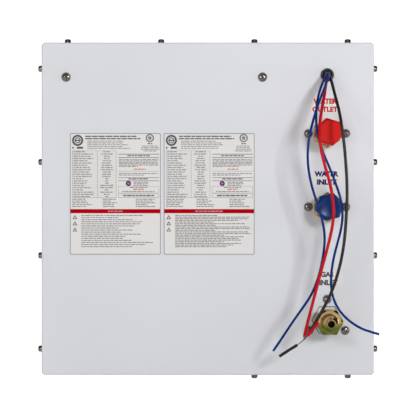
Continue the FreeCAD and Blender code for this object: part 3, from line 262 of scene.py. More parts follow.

# %% [markdown]
# ## The brass of the gas union
# New brass is warm gold, and its underside carries a painted reflection: an olive shade that stands for
# the darker surroundings mirrored there. A height mask in the piece's own coordinates mixes the two, so the
# painted reflection stays put.

# %% Brass with a painted reflection on its underside


def brass_with_painted_underside(low, high):
    material = finish("brass with painted olive underside", (0.72, 0.50, 0.22), (0.42, 0.28, 0.12), metallic=1.0,
                      rough=(0.10, 0.22), stretch=(30, 1800, 30), bump=0.05)
    tree = material.node_tree
    base = tree.nodes["Principled BSDF"].inputs["Base Color"]
    where = add(tree, "ShaderNodeTexCoord")
    parts = add(tree, "ShaderNodeSeparateXYZ", Vector=where.outputs["Object"])
    # Painted reflection and shade: below this height band the brass turns olive-dark.
    mask = add(tree, "ShaderNodeMapRange", {"interpolation_type": "SMOOTHSTEP"}, Value=parts.outputs["Z"],
               From_Min=low, From_Max=high)
    tint = add(tree, "ShaderNodeMix", {"data_type": "RGBA"}, Factor=mask.outputs["Result"],
               A=(*UNDERSIDE_PAINTED_REFLECTION, 1), B=base.links[0].from_socket)
    tree.links.new(tint.outputs["Result"], base)
    return material


# Painted reflection: the olive of the brass underside stands for the darker surroundings it mirrors.
UNDERSIDE_PAINTED_REFLECTION = (0.16, 0.19, 0.03)
gas_middle = middle("gas_inlet_fitting")
painted_reflection_top = gas_middle.z - 5 * MM
BRASS_PAINTED_UNDERSIDE = brass_with_painted_underside(painted_reflection_top, gas_middle.z + 3 * MM)
print("olive below z = %.4f m" % painted_reflection_top)

# %% [markdown]
# ## Keeping the CAD solids
# Sheet metal, castings and pipes have their true shape already. Each keeps its CAD mesh and only
# takes a finish in its material slots.

# %% Finishes for the CAD nodes
NODE_FINISHES = {
    POWDER_COAT: ["connection_panel", "wall_flange", "access_door"],
    ZINC_STEEL: ["side_sheet_left", "side_sheet_right", "bottom_sheet", "top_cover", "core_bracket",
                 "burner_box", "flue_hood", "fan_housing", "fan_impeller", "control_box",
                 "control_box_lid"],
    ZINC_PLATE: ["port_brackets"],
    STAINLESS: ["exhaust_grille", "frame_hinges", "door_hinges", "exhaust_duct", "relief_lever",
                "burner_bars"],
    FOAM: ["flange_gasket"],
    BRASS: ["drain_plug", "flow_sensor_body", "relief_valve"],
    COPPER: ["cold_pipe", "hot_pipe", "heat_exchanger_tubes"],
    HOT_COPPER: ["heat_exchanger_shell", "heat_exchanger_fins"],
    CASTING: ["fan_motor", "gas_valve", "gas_pipe", "gas_manifold"],
    BLACK_MOULDING: ["latch_upper", "latch_lower", "gas_solenoids", "overheat_thermostat",
                     "ignition_transformer", "flow_turbine", "power_switch_body"],
    RED_CAP: ["power_rocker"],
    BOARD: ["control_board"],
    CERAMIC: ["electrodes"],
}


def dress(node, material):
    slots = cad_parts[node].data.materials
    slots.clear()
    slots.append(material)


for material, nodes in NODE_FINISHES.items():
    for node in nodes:
        dress(node, material)
print("dressed %d CAD nodes" % sum(len(nodes) for nodes in NODE_FINISHES.values()))

# %% [markdown]
# ## The free wires
# Four wires leave one grommet and hang in front of the panel. A wire is a curve with a round bevel:
# a NURBS spline of order 3 stays inside its control points, so it bends as smoothly as real wire.
# The control points are the same route that the CAD tubes follow, as (across, out, up) in mm.

# %% The four routes
BLUE_RIGHT_ROUTE = [
    (114.6, 0.6, 131.1), (114.6, 8.0, 131.1), (112.8, 18.0, 126.8), (108.4, 29.0, 118.4),
    (104.2, 38.5, 107.1), (101.6, 46.5, 93.3), (101.2, 52.5, 79.0), (103.1, 55.0, 65.0),
    (107.9, 55.4, 51.0), (113.7, 55.0, 37.9), (118.7, 55.6, 24.9), (123.7, 56.0, 10.4),
    (125.9, 55.6, -4.0), (124.5, 55.0, -18.5), (120.7, 54.2, -32.9), (117.1, 53.8, -46.9),
    (115.1, 53.4, -60.9), (114.9, 53.0, -74.9), (118.8, 52.4, -89.0), (127.9, 51.0, -101.7),
    (141.0, 49.6, -111.0), (150.6, 48.6, -114.8), (160.5, 47.6, -117.6)]
BLUE_LEFT_ROUTE = [
    (117.3, 0.6, 131.2), (117.3, 9.5, 131.2), (115.0, 22.5, 124.9), (109.6, 37.0, 111.9),
    (103.4, 49.5, 98.4), (98.6, 57.0, 84.4), (94.8, 60.0, 70.4), (92.8, 60.4, 56.4),
    (92.8, 59.4, 42.5), (94.8, 58.2, 28.6), (98.5, 57.4, 14.6), (103.3, 57.2, 1.1),
    (107.2, 57.0, -12.8), (109.2, 56.4, -27.3), (107.8, 55.6, -42.2), (104.9, 54.8, -57.6),
    (100.9, 54.0, -70.7), (95.6, 53.0, -82.4), (88.6, 51.4, -92.8), (80.3, 49.4, -104.6),
    (71.3, 47.0, -118.8), (61.5, 44.6, -133.6)]
RED_ROUTE = [
    (114.5, 0.6, 128.3), (114.5, 8.5, 128.3), (113.4, 19.5, 122.2), (111.2, 31.5, 110.7),
    (107.8, 43.5, 96.5), (104.8, 52.6, 82.8), (103.8, 58.2, 68.5), (105.1, 60.6, 54.5),
    (108.7, 61.4, 39.6), (113.1, 61.0, 24.8), (116.2, 60.6, 9.5), (117.1, 60.8, -5.4),
    (115.1, 60.4, -20.2), (111.6, 60.0, -34.6), (107.7, 59.4, -49.5), (103.3, 58.6, -65.3),
    (99.2, 57.4, -81.7), (95.4, 55.4, -96.7), (92.4, 53.2, -109.0), (90.2, 51.0, -119.5)]
BLACK_ROUTE = [
    (117.4, 0.6, 128.2), (117.4, 9.5, 128.2), (118.2, 19.5, 122.6), (120.1, 30.0, 110.4),
    (122.2, 44.5, 97.2), (124.0, 54.5, 83.5), (125.7, 57.6, 69.2), (127.4, 58.0, 54.7),
    (128.7, 57.0, 39.3), (129.6, 57.2, 23.9), (129.6, 57.6, 8.1), (128.8, 58.0, -7.3),
    (127.8, 58.2, -22.1), (126.1, 58.4, -37.0), (123.2, 58.2, -51.9), (119.0, 57.6, -67.2),
    (113.6, 56.6, -81.7), (106.1, 54.8, -96.1), (99.8, 52.6, -107.5), (95.2, 50.6, -115.2)]
RED_BARE_ROUTE = [(90.2, 51.0, -119.5), (89.6, 50.8, -122.4), (91.0, 52.6, -121.4), (93.1, 53.2, -118.5)]
RED_SLUG_ROUTE = [(93.1, 53.2, -118.5), (98.3, 55.2, -111.7), (103.4, 56.8, -105.3)]
BLACK_BARE_ROUTE = [(95.2, 50.6, -115.2), (91.6, 49.4, -120.6), (88.2, 48.6, -124.5), (83.9, 48.2, -127.5)]
BLACK_SLUG_ROUTE = [(83.9, 48.2, -127.5), (75.8, 47.8, -132.6), (67.0, 47.4, -138.4)]
SIGNAL_WIRE = 2.3 * MM
POWER_WIRE = 2.9 * MM
print("routes of", ", ".join(str(len(r)) for r in (BLUE_RIGHT_ROUTE, BLUE_LEFT_ROUTE, RED_ROUTE,
                                                    BLACK_ROUTE)), "points")

# %% One curve for one wire
STEPS_ALONG = 10
STEPS_ROUND = 6


def keep(obj):
    bpy.context.collection.objects.link(obj)
    return obj


def smooth_curve(name, route, diameter=0.0, material=None):
    curve = bpy.data.curves.new(name, "CURVE")
    curve.dimensions = "3D"
    curve.resolution_u = STEPS_ALONG
    curve.bevel_depth = diameter / 2
    curve.bevel_resolution = STEPS_ROUND
    curve.use_fill_caps = True
    line = curve.splines.new("NURBS")
    line.points.add(len(route) - 1)
    for point, spot in zip(line.points, route):
        point.co = (*place(*spot), 1)
    line.order_u = 3
    line.use_endpoint_u = True
    if material:
        curve.materials.append(material)
    return bpy.data.objects.new(name, curve)


blue_right = keep(smooth_curve("signal_wire_right", BLUE_RIGHT_ROUTE, SIGNAL_WIRE, BLUE_WIRE))
blue_left = keep(smooth_curve("signal_wire_left", BLUE_LEFT_ROUTE, SIGNAL_WIRE, BLUE_WIRE))
red_wire = keep(smooth_curve("power_wire_red", RED_ROUTE, POWER_WIRE, RED_WIRE))
black_wire = keep(smooth_curve("power_wire_black", BLACK_ROUTE, POWER_WIRE, BLACK_WIRE))
print("wires made:", blue_right.name, blue_left.name, red_wire.name, black_wire.name)

# %% [markdown]
# ## The stripped ends
# An installer strips a wire by cutting its insulation and sliding the loose slug along, often without
# taking it off. Between the cut and the slug the twisted copper shows. Each strand here is a helix
# wound round points read from the route's own spline, and the slug is a short tube.

# %% Meshes from curves


def plain_mesh(obj):
    """The object's finished mesh with its modifiers applied, as data of its own."""
    bpy.context.view_layer.update()
    graph = bpy.context.evaluated_depsgraph_get()
    return bpy.data.meshes.new_from_object(obj.evaluated_get(graph), depsgraph=graph)


def spline_points(route):
    guide = keep(smooth_curve("guide", route))
    points = [vertex.co.copy() for vertex in plain_mesh(guide).vertices]
    bpy.data.objects.remove(guide)
    return points


def tube_rings(mesh, points, radius, sides=10, slot=0):
    """Adds a closed tube round the points, each ring square to the path there."""
    rings = []
    side = None
    for index, point in enumerate(points):
        ahead = points[min(index + 1, len(points) - 1)] - points[max(index - 1, 0)]
        ahead.normalize()
        if side is None:
            side = ahead.orthogonal().normalized()
        side = (side - ahead * side.dot(ahead)).normalized()
        other = ahead.cross(side)
        turns = [2 * math.pi * step / sides for step in range(sides)]
        rings.append([mesh.verts.new(point + radius * (side * math.cos(t) + other * math.sin(t)))
                      for t in turns])
    for low, high in zip(rings, rings[1:]):
        for step in range(sides):
            after = (step + 1) % sides
            face = mesh.faces.new((low[step], low[after], high[after], high[step]))
            face.smooth = True
            face.material_index = slot
    mesh.faces.new(list(reversed(rings[0]))).material_index = slot
    mesh.faces.new(rings[-1]).material_index = slot


def finished(name, mesh, *materials, sharp=35):
    """Turns working mesh data into a finished object with its normals outward."""
    bmesh.ops.recalc_face_normals(mesh, faces=mesh.faces[:])
    data = bpy.data.meshes.new(name)
    mesh.to_mesh(data)
    mesh.free()
    data.set_sharp_from_angle(angle=math.radians(sharp))
    for material in materials:
        data.materials.append(material)
    return keep(bpy.data.objects.new(name, data))


# %% Twisted strands and their slug
STRAND_RADIUS = 0.24 * MM
STRAND_REACH = 0.28 * MM
STRAND_TWIST = 2.2 * MM
STRANDS = 4


def stripped_end(name, bare_route, slug_route, diameter, insulation):
    mesh = bmesh.new()
    core = spline_points(bare_route)
    run = 0.0
    walked = [0.0]
    for before, after in zip(core, core[1:]):
        run += (after - before).length
        walked.append(run)
    for strand in range(STRANDS):
        points = []
        for index, point in enumerate(core):
            ahead = (core[min(index + 1, len(core) - 1)] - core[max(index - 1, 0)]).normalized()
            side = ahead.cross(Vector((0, 1, 0))).normalized()
            other = ahead.cross(side)
            turn = 2 * math.pi * (walked[index] / STRAND_TWIST + strand / STRANDS)
            points.append(point + STRAND_REACH * (side * math.cos(turn) + other * math.sin(turn)))
        tube_rings(mesh, points, STRAND_RADIUS, sides=8)
    tube_rings(mesh, spline_points(slug_route), diameter / 2, sides=16, slot=1)
    return finished(name, mesh, TINNED, insulation, sharp=50)


red_tip = stripped_end("stripped_end_red", RED_BARE_ROUTE, RED_SLUG_ROUTE, POWER_WIRE, RED_WIRE)
black_tip = stripped_end("stripped_end_black", BLACK_BARE_ROUTE, BLACK_SLUG_ROUTE, POWER_WIRE, BLACK_WIRE)
print("%d faces in the red end" % len(red_tip.data.polygons))

# %% What the wires stand for
WIRES = [
    (blue_right, "wire_blue_right", BLUE_RIGHT_ROUTE, 0.3056, SIGNAL_WIRE, "blue_insulation", []),
    (blue_left, "wire_blue_left", BLUE_LEFT_ROUTE, 0.3133, SIGNAL_WIRE, "blue_insulation", []),
    (red_wire, "wire_red", RED_ROUTE, 0.2813, POWER_WIRE, "red_insulation", [red_tip]),
    (black_wire, "wire_black", BLACK_ROUTE, 0.2793, POWER_WIRE, "black_insulation", [black_tip]),
]
for tip, node, slot in ((red_tip, "red_wire_tip", "red_insulation"),
                        (black_tip, "black_wire_tip", "black_insulation")):
    belongs(tip, "casing", slot, node)
for wire, node, route, length, diameter, slot, ends in WIRES:
    belongs(wire, "casing", slot, node)
print("cords declared:", ", ".join("%s %.0f mm" % (row[0].name, row[3] / MM) for row in WIRES))

# %% [markdown]
# ## Turned parts
# Caps, unions, nuts and screw heads all start as round or six-sided bar, turned on a lathe. One
# function makes them all: rings of points along an axis, each ring limited by a circle, by a
# hexagon, or by both. Both at once gives the curved edge that a chamfered nut has. A thread is the
# same ring with a radius that follows a helix.

# %% Rings along an axis
RING_STEPS = 96
FLANK_SLOPE = 1.6
CREST = 0.2


class Ring:
    """One ring of a turned part, in mm: how far out, its circle, its hexagon, its thread."""

    def __init__(self, out, circle=99.0, hexagon=None, thread=None):
        self.out = out
        self.circle = circle
        self.hexagon = hexagon
        self.thread = thread

    def radius(self, turn, spin):
        reach = self.circle
        if self.thread:
            pitch, deep = self.thread
            share = (self.out / pitch - turn / (2 * math.pi)) % 1
            reach -= deep * min(1.0, max(0.0, FLANK_SLOPE * abs(2 * share - 1) - CREST))
        if self.hexagon:
            from_corner = (turn - spin) % math.radians(60)
            flat = self.hexagon * math.cos(math.radians(30))
            reach = min(reach, flat / math.cos(from_corner - math.radians(30)))
        return reach


def thread_rings(start, end, radius, pitch, deep, steps=6):
    """Rings of a thread that fades in and out over its first and last turn."""
    count = int((end - start) / pitch * steps)
    for index in range(count + 1):
        out = start + (end - start) * index / count
        fade = min(1.0, (out - start) / pitch, (end - out) / pitch)
        yield Ring(out, radius, thread=(pitch, deep * fade))


def turned(rings, spin=0.0, closed=False, steps=RING_STEPS):
    """A mesh with its axis along its own Z; a ring of no radius is a single point."""
    mesh = bmesh.new()
    rows = []
    for ring in rings:
        if ring.circle == 0:
            rows.append([mesh.verts.new((0, 0, ring.out * MM))])
            continue
        row = []
        for step in range(steps):
            turn = spin + 2 * math.pi * step / steps
            reach = ring.radius(turn, spin) * MM
            row.append(mesh.verts.new((reach * math.cos(turn), reach * math.sin(turn), ring.out * MM)))
        rows.append(row)
    pairs = list(zip(rows, rows[1:]))
    if closed:
        pairs.append((rows[-1], rows[0]))
    for low, high in pairs:
        for step in range(steps):
            after = (step + 1) % steps
            corners = [low[step % len(low)], low[after % len(low)], high[after % len(high)],
                       high[step % len(high)]]
            face = mesh.faces.new(list(dict.fromkeys(corners)))
            face.smooth = True
    return mesh


def stand_out(mesh, across, up):
    """Turns a part's own Z to point out of the panel and moves it to its place."""
    mesh.transform(Matrix.Translation(place(across, 0, up)) @ Matrix.Rotation(math.radians(90), 4, "X"))
    return mesh


def port_of(node):
    """Where a port's axis meets the panel, as (across, up) in mm."""
    centre = middle(node)
    return centre.x / MM, (centre.z - MIDDLE_Z) / MM


def corner_turn(node):
    """The angle of a corner of the node's hexagon, seen from in front of the panel."""
    centre = middle(node)
    spots = [vertex.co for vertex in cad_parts[node].data.vertices]
    far = max(spots, key=lambda spot: round(math.hypot(spot.x - centre.x, spot.z - centre.z), 5))
    return math.atan2(far.z - centre.z, far.x - centre.x)


print("hot cap's corners start at %.0f degrees" % math.degrees(corner_turn("hot_port_cap")))

# %% [markdown]
# ## The port caps
# Soft plastic plugs keep dirt out of the water unions. The red one has a flat end with a narrow
# bevel that follows its hexagon. The blue one was turned after it was moulded, so its bevel is
# round. Both are hollow, because they pull off and then show their inside.

# %% Two six-sided caps
CAP_CORNER = 13.8
CAP_BORE = 10.28
CAP_START = 12.0
CAP_FLOOR = 30.0
CAP_END = 32.0
CAP_SHARP = 14
CAP_INSIDE = [Ring(CAP_FLOOR, 0), Ring(CAP_FLOOR, CAP_BORE - 0.8), Ring(CAP_FLOOR - 0.8, CAP_BORE),
              Ring(CAP_START + 0.5, CAP_BORE), Ring(CAP_START, CAP_BORE + 0.4)]
CAP_SIDE = [Ring(CAP_START, 13.3, CAP_CORNER - 0.2), Ring(CAP_START + 0.4, 13.55, CAP_CORNER)]
RED_OUTSIDE = CAP_SIDE + [
    Ring(CAP_END - 2.3, 13.55, CAP_CORNER), Ring(CAP_END - 1.9, 13.3, CAP_CORNER - 0.25),
    Ring(CAP_END - 0.5, 11.8, CAP_CORNER - 1.8), Ring(CAP_END - 0.1, 11.3, CAP_CORNER - 2.3),
    Ring(CAP_END, 10.9, CAP_CORNER - 2.7), Ring(CAP_END - 0.15, 0)]
BLUE_OUTSIDE = CAP_SIDE + [
    Ring(CAP_END - 3.2, 13.55, CAP_CORNER), Ring(CAP_END - 2.7, 13.2, CAP_CORNER),
    Ring(CAP_END - 0.7, 10.9, CAP_CORNER - 0.6), Ring(CAP_END - 0.15, 10.2, CAP_CORNER - 1.6),
    Ring(CAP_END, 9.6, CAP_CORNER - 2.4), Ring(CAP_END - 0.1, 9.2), Ring(CAP_END - 0.35, 0)]


def port_cap(name, node, body, outside, material, slot):
    across, up = port_of(node)
    mesh = turned(CAP_INSIDE + outside, spin=corner_turn(node))
    return belongs(finished(name, stand_out(mesh, across, up), material, sharp=CAP_SHARP), body, slot, node)


red_cap = port_cap("hot_port_plug", "hot_port_cap", "hot_cap", RED_OUTSIDE, RED_CAP, "red_plastic")
port_cap("cold_port_plug", "cold_port_cap", "cold_cap", BLUE_OUTSIDE, BLUE_CAP, "blue_plastic")
print("caps of %d faces" % len(red_cap.data.polygons))

# %% [markdown]
# ## Brass unions
# A water union is hexagon bar with a tapered pipe thread outside, bored right through. The gas union
# ends in a flare: a threaded nose with a 45 degree seat round the gas bore, where the flared tube of
# the supply is clamped.

# %% Water unions
PIPE_PITCH = 1.81
HEX_CORNER = 14.43
WATER_RINGS = [Ring(-16.0, 8.2), Ring(-16.0, 10.4), Ring(-15.4, 11.0), Ring(-0.4, 11.0),
               Ring(0.0, 13.3, HEX_CORNER), Ring(0.9, HEX_CORNER, HEX_CORNER),
               Ring(6.7, HEX_CORNER, HEX_CORNER), Ring(8.0, 12.2, HEX_CORNER), Ring(8.0, 9.3)]
WATER_RINGS += [Ring(8.6, 9.3)] + list(thread_rings(9.2, 28.9, 10.2, PIPE_PITCH, 1.0))
WATER_RINGS += [Ring(29.7, 9.3), Ring(29.7, 8.0), Ring(29.2, 7.5), Ring(-15.5, 7.5)]
for name, node in (("hot_water_union", "hot_outlet_fitting"), ("cold_water_union", "cold_inlet_fitting")):
    across, up = port_of(node)
    union = finished(name, stand_out(turned(WATER_RINGS, corner_turn(node), closed=True), across, up), BRASS)
    belongs(union, "casing", "brass", node)
print("water unions of %d faces" % len(union.data.polygons))

# %% Gas union
FLARE_PITCH = 1.41
GAS_CORNER = 13.51
GAS_RINGS = [Ring(-22.0, 3.5), Ring(-22.0, 8.1), Ring(-21.6, 8.5), Ring(13.4, 8.5),
             Ring(14.0, 11.7, GAS_CORNER), Ring(15.0, GAS_CORNER, GAS_CORNER),
             Ring(31.0, GAS_CORNER, GAS_CORNER), Ring(33.0, 10.8, GAS_CORNER), Ring(33.0, 7.3),
             Ring(33.6, 7.1)]
GAS_RINGS += list(thread_rings(34.2, 42.6, 7.94, FLARE_PITCH, 0.75))
GAS_RINGS += [Ring(43.0, 7.2), Ring(43.3, 7.0), Ring(49.4, 4.9), Ring(50.0, 4.3), Ring(50.0, 3.5),
              Ring(49.6, 3.1), Ring(-21.6, 3.1)]
across, up = port_of("gas_inlet_fitting")
gas_union = finished("gas_union", stand_out(turned(GAS_RINGS, corner_turn("gas_inlet_fitting"), closed=True),
                                            across, up), BRASS_PAINTED_UNDERSIDE)
belongs(gas_union, "casing", "brass", "gas_inlet_fitting")
print("gas union of %d faces" % len(gas_union.data.polygons))

# %% [markdown]
# ## The gas entry
# The gas union passes through a six-sided opening, larger than its hexagon. A thin near-black ring with
# the opening's six sides lines it: the cut edge of the sheet, its dark a painted shadow of the gap. The
# ring is a flat piece: one outline at two heights, with a hole. The printed plates are made the same way
# later.

# %% Flat pieces from outlines


def sheet_of(mesh, outline, base, thick, hole=None):
    """A flat piece on the panel between two heights; a hole has as many points as the outline."""
    def ring(points, out):
        return [mesh.verts.new(place(x, out, up)) for x, up in points]

    low, high = ring(outline, base), ring(outline, base + thick)
    pairs = [(low, high)]
    if hole:
        hole_low, hole_high = ring(hole, base), ring(hole, base + thick)
        pairs += [(high, hole_high), (hole_high, hole_low), (hole_low, low)]
    else:
        mesh.faces.new(high)
        mesh.faces.new(list(reversed(low)))
    for first, second in pairs:
        for step in range(len(first)):
            after = (step + 1) % len(first)
            mesh.faces.new((first[step], first[after], second[after], second[step]))


def circle(cx, cy, radius, sides=40, turn=0.0):
    return [(cx + radius * math.cos(turn + 2 * math.pi * k / sides),
             cy + radius * math.sin(turn + 2 * math.pi * k / sides)) for k in range(sides)]


# %% Edge of the gas entry's cut-out, dark with painted shadow
CUT_OUT_CORNER = 15.25
CUT_EDGE = 0.75
CUT_DEEP = 0.6
CUT_PROUD = 0.02
across, up = port_of("gas_inlet_fitting")
mesh = bmesh.new()
sheet_of(mesh, circle(across, up, CUT_OUT_CORNER, sides=6), -CUT_DEEP, CUT_DEEP + CUT_PROUD,
         hole=circle(across, up, CUT_OUT_CORNER - CUT_EDGE, sides=6))
# Near-black ring over the cut edge: partly the real edge, partly painted shadow of the gap.
cut_edge_and_shadow = finished("gas_cut_out_edge", mesh, RING_WITH_PAINTED_SHADOW)
belongs(cut_edge_and_shadow, "casing", "galvanised_steel")
print("cut-out %.1f mm over its corners" % (2 * CUT_OUT_CORNER))

# %% [markdown]
# ## The grommet
# The wires cross the sheet-steel edge through a soft rubber ring: a groove grips the sheet, and two
# rounded lips hold it there. It is one closed outline, turned like the brass.

# %% Rubber grommet
GROMMET_RINGS = [Ring(-3.0, 0), Ring(-3.0, 5.6), Ring(-2.6, 6.0), Ring(-1.2, 6.0), Ring(-1.2, 4.72),
                 Ring(-0.05, 4.72), Ring(0.02, 6.2), Ring(0.4, 6.48), Ring(1.3, 6.48), Ring(1.9, 6.1),
                 Ring(2.2, 5.4), Ring(2.1, 4.7), Ring(1.7, 4.0), Ring(1.0, 3.6), Ring(0.5, 3.3),
                 Ring(0.5, 0)]
across, up = port_of("wire_grommet")
grommet = finished("rubber_grommet", stand_out(turned(GROMMET_RINGS), across, up), RUBBER, sharp=40)
belongs(grommet, "casing", "black_rubber", "wire_grommet")
print("grommet %.1f mm across" % (2 * max(r.circle for r in GROMMET_RINGS)))

# %% [markdown]
# ## Screws
# The same screw is used many times, so it is modelled once and instanced with Geometry Nodes. A mesh
# of bare points marks the places, and an attribute on each point says which way the screw faces and
# how far it is turned, because nobody stops all the crosses at the same angle.

# %% The instancing tree
PLACE_COLUMNS = ("outward", "along", "size")


def repeat_tree():
    """Puts one object at every point, turned to the point's own frame and scaled by its own size."""
    group, given, result = new_group(
        "repeat at points", "GeometryNodeTree",
        {"Geometry": ("Geometry", None), "Piece": ("Object", None), "Finish": ("Material", None),
         "Scale": ("Float", 1.0)},
        {"Geometry": "Geometry"})
    outward, along, size = (
        add(group, "GeometryNodeInputNamedAttribute", {"data_type": "FLOAT_VECTOR"}, Name=label)
        .outputs["Attribute"] for label in PLACE_COLUMNS)
    facing = add(group, "FunctionNodeAxesToRotation", {"primary_axis": "Z", "secondary_axis": "X"},
                 Primary_Axis=outward, Secondary_Axis=along)
    sized = add(group, "ShaderNodeVectorMath", {"operation": "SCALE"}, Vector=size, Scale=given["Scale"])
    piece = add(group, "GeometryNodeObjectInfo", Object=given["Piece"])
    spread = add(group, "GeometryNodeInstanceOnPoints", Points=given["Geometry"],
                 Instance=piece.outputs["Geometry"], Rotation=facing.outputs["Rotation"],
                 Scale=sized.outputs["Vector"])
    real = add(group, "GeometryNodeRealizeInstances", Geometry=spread.outputs["Instances"])
    coat = add(group, "GeometryNodeSetMaterial", Geometry=real.outputs["Geometry"], Material=given["Finish"])
    group.links.new(coat.outputs["Geometry"], result["Geometry"])
    return group


REPEAT = repeat_tree()


def repeated(name, piece, finish_for_it, places, scale=1.0):
    """A plain mesh of one piece at many places; a place is (point, outward, along, size)."""
    data = bpy.data.meshes.new(name + "_places")
    data.from_pydata([spot[0] for spot in places], [], [])
    for column, label in enumerate(PLACE_COLUMNS, start=1):
        store = data.attributes.new(label, "FLOAT_VECTOR", "POINT")
        store.data.foreach_set("vector", [value for spot in places for value in spot[column]])
    marker = keep(bpy.data.objects.new(name + "_places", data))
    modifier = marker.modifiers.new("repeat", "NODES")
    modifier.node_group = REPEAT
    inputs = {"Piece": piece, "Finish": finish_for_it, "Scale": scale}
    for item in REPEAT.interface.items_tree:
        if item.in_out == "INPUT" and item.name in inputs:
            modifier[item.identifier] = inputs[item.name]
    mesh = plain_mesh(marker)
    bpy.data.objects.remove(marker)
    mesh.name = name
    for label in PLACE_COLUMNS:
        if label in mesh.attributes:
            mesh.attributes.remove(mesh.attributes[label])
    return keep(bpy.data.objects.new(name, mesh))


print("instancing tree has %d nodes" % len(REPEAT.nodes))

# %% [markdown]
# ## Two heads
# The screws on the panel's face have a low pan head with a washer skirt. Those on the case's edges
# stand taller. Both have a cross recess, which is cut with a boolean: two tapered blades make the
# cutter. The head's radius is 1, so that the instancing tree can size it.

# %% Screw heads
HEAD_SHARP = 40
CROSS_REACH = 0.5
CROSS_HALF = 0.11
CROSS_DEEP = 0.4
CROSS_TAPER = 0.42
CUTTER_ABOVE = 0.05


def blade_cutter(reach, thick, top, deep):
    mesh = bmesh.new()
    for half_x, half_y in ((reach, thick), (thick, reach)):
        corners = []
        for level, share in ((top, 1.0), (top - deep, CROSS_TAPER)):
            for sx, sy in ((-1, -1), (1, -1), (1, 1), (-1, 1)):
                corners.append(mesh.verts.new((sx * half_x * share, sy * half_y * max(share, 0.7), level)))
        high, low = corners[:4], corners[4:]
        mesh.faces.new(high)
        mesh.faces.new(list(reversed(low)))
        for step in range(4):
            after = (step + 1) % 4
            mesh.faces.new((high[after], high[step], low[step], low[after]))
    return finished("cross_blades", mesh)


def screw_head(name, rings, top):
    mesh = turned(rings, steps=36)
    mesh.transform(Matrix.Scale(1 / MM, 4))
    head = finished(name, mesh, sharp=HEAD_SHARP)
    cutter = blade_cutter(CROSS_REACH, CROSS_HALF, top + CUTTER_ABOVE, CROSS_DEEP)
    cross = head.modifiers.new("cross recess", "BOOLEAN")
    cross.object = cutter
    cross.operation = "DIFFERENCE"
    cross.solver = "EXACT"
    cross.use_self = True
    cut = plain_mesh(head)
    cut.set_sharp_from_angle(angle=math.radians(HEAD_SHARP))
    head.modifiers.remove(cross)
    head.data = cut
    bpy.data.objects.remove(cutter)
    return head


PAN_RINGS = [Ring(-0.02, 0), Ring(-0.02, 0.93), Ring(0.02, 1.0), Ring(0.08, 1.0), Ring(0.22, 0.88),
             Ring(0.31, 0.84), Ring(0.42, 0.77), Ring(0.52, 0.65), Ring(0.58, 0.5), Ring(0.62, 0.3),
             Ring(0.63, 0)]
TALL_RINGS = [Ring(-0.02, 0), Ring(-0.02, 0.95), Ring(0.05, 1.0), Ring(0.2, 1.0), Ring(0.26, 0.95),
              Ring(0.28, 0.9), Ring(0.36, 0.88), Ring(0.8, 0.88), Ring(1.0, 0.8), Ring(1.12, 0.64),
              Ring(1.18, 0.38), Ring(1.2, 0)]
pan_head = screw_head("pan_head", PAN_RINGS, 0.63)
tall_head = screw_head("tall_head", TALL_RINGS, 1.2)
print("pan head of %d faces" % len(pan_head.data.polygons))

# %% Where the screws go
SCREW_PITCH = 91.0
FACE_SCREW_RADIUS = 4.6
PORT_SCREW_RADIUS = 4.35
EDGE_SCREW_RADIUS = 3.4
EDGE_SCREW_DEEP = 8.0
FACE_SCREWS = [(-137.5, 127.7), (53.1, 127.7)]
EAR_REACH = 18.1
GAS_SCREW_REACH = 20.2
twist = random.Random(11)


def screw_place(across, out, up, outward, radius):
    """A head on a face, its cross turned at random about the outward axis."""
    outward = Vector(outward)
    along = Matrix.Rotation(twist.uniform(0, math.pi / 2), 3, outward) @ outward.orthogonal()
    return place(across, out, up), outward, along, (radius * MM,) * 3


edge = CASE_HALF / MM
edge_places = []
for step in (-1.5, -0.5, 0.5, 1.5):
    shift = SCREW_PITCH * step
    edge_places.append(screw_place(shift, -EDGE_SCREW_DEEP, edge, (0, 0, 1), EDGE_SCREW_RADIUS))
    edge_places.append(screw_place(-edge, -EDGE_SCREW_DEEP, shift, (-1, 0, 0), EDGE_SCREW_RADIUS))
    edge_places.append(screw_place(edge, -EDGE_SCREW_DEEP, shift, (1, 0, 0), EDGE_SCREW_RADIUS))
    if step > 0:
        edge_places.append(screw_place(shift, -EDGE_SCREW_DEEP, -edge, (0, 0, -1), EDGE_SCREW_RADIUS))
face_places = [screw_place(across, 0, up, (0, -1, 0), FACE_SCREW_RADIUS) for across, up in FACE_SCREWS]
port_places = []
for node in ("hot_outlet_fitting", "cold_inlet_fitting"):
    across, up = port_of(node)
    for side in (-1, 1):
        port_places.append(screw_place(across + side * EAR_REACH, 0, up, (0, -1, 0), PORT_SCREW_RADIUS))
across, up = port_of("gas_inlet_fitting")
for degrees in (90, -30, -150):
    turn = math.radians(degrees)
    port_places.append(screw_place(across + GAS_SCREW_REACH * math.cos(turn), 0,
                                   up + GAS_SCREW_REACH * math.sin(turn), (0, -1, 0), PORT_SCREW_RADIUS))
print("%d edge, %d face and %d port screws" % (len(edge_places), len(face_places), len(port_places)))

# %% Screws in place
edge_screws = repeated("case_edge_screws", tall_head, NICKEL, edge_places)
face_screws = repeated("panel_face_screws", pan_head, NICKEL, face_places)
port_screws = repeated("port_plate_screws", pan_head, NICKEL, port_places)
belongs(edge_screws, "casing", "plated_screw", "case_screws")
belongs(face_screws, "casing", "plated_screw")
belongs(port_screws, "casing", "plated_screw", "port_screws")
for head in (pan_head, tall_head):
    bpy.data.objects.remove(head)
print("screw faces:", len(edge_screws.data.polygons) + len(port_screws.data.polygons))

# %% [markdown]
# ## Printed plates
# A plate is thin film with rounded corners. What is printed on it is raised by a few hundredths of a
# millimetre, so that it catches light like ink and survives export. Words too small to read are bars
# of the length of a word, placed line by line and instanced with the same tree as the screws.

# %% Plates, rings and frames
FILM = 0.2
INK = 0.04


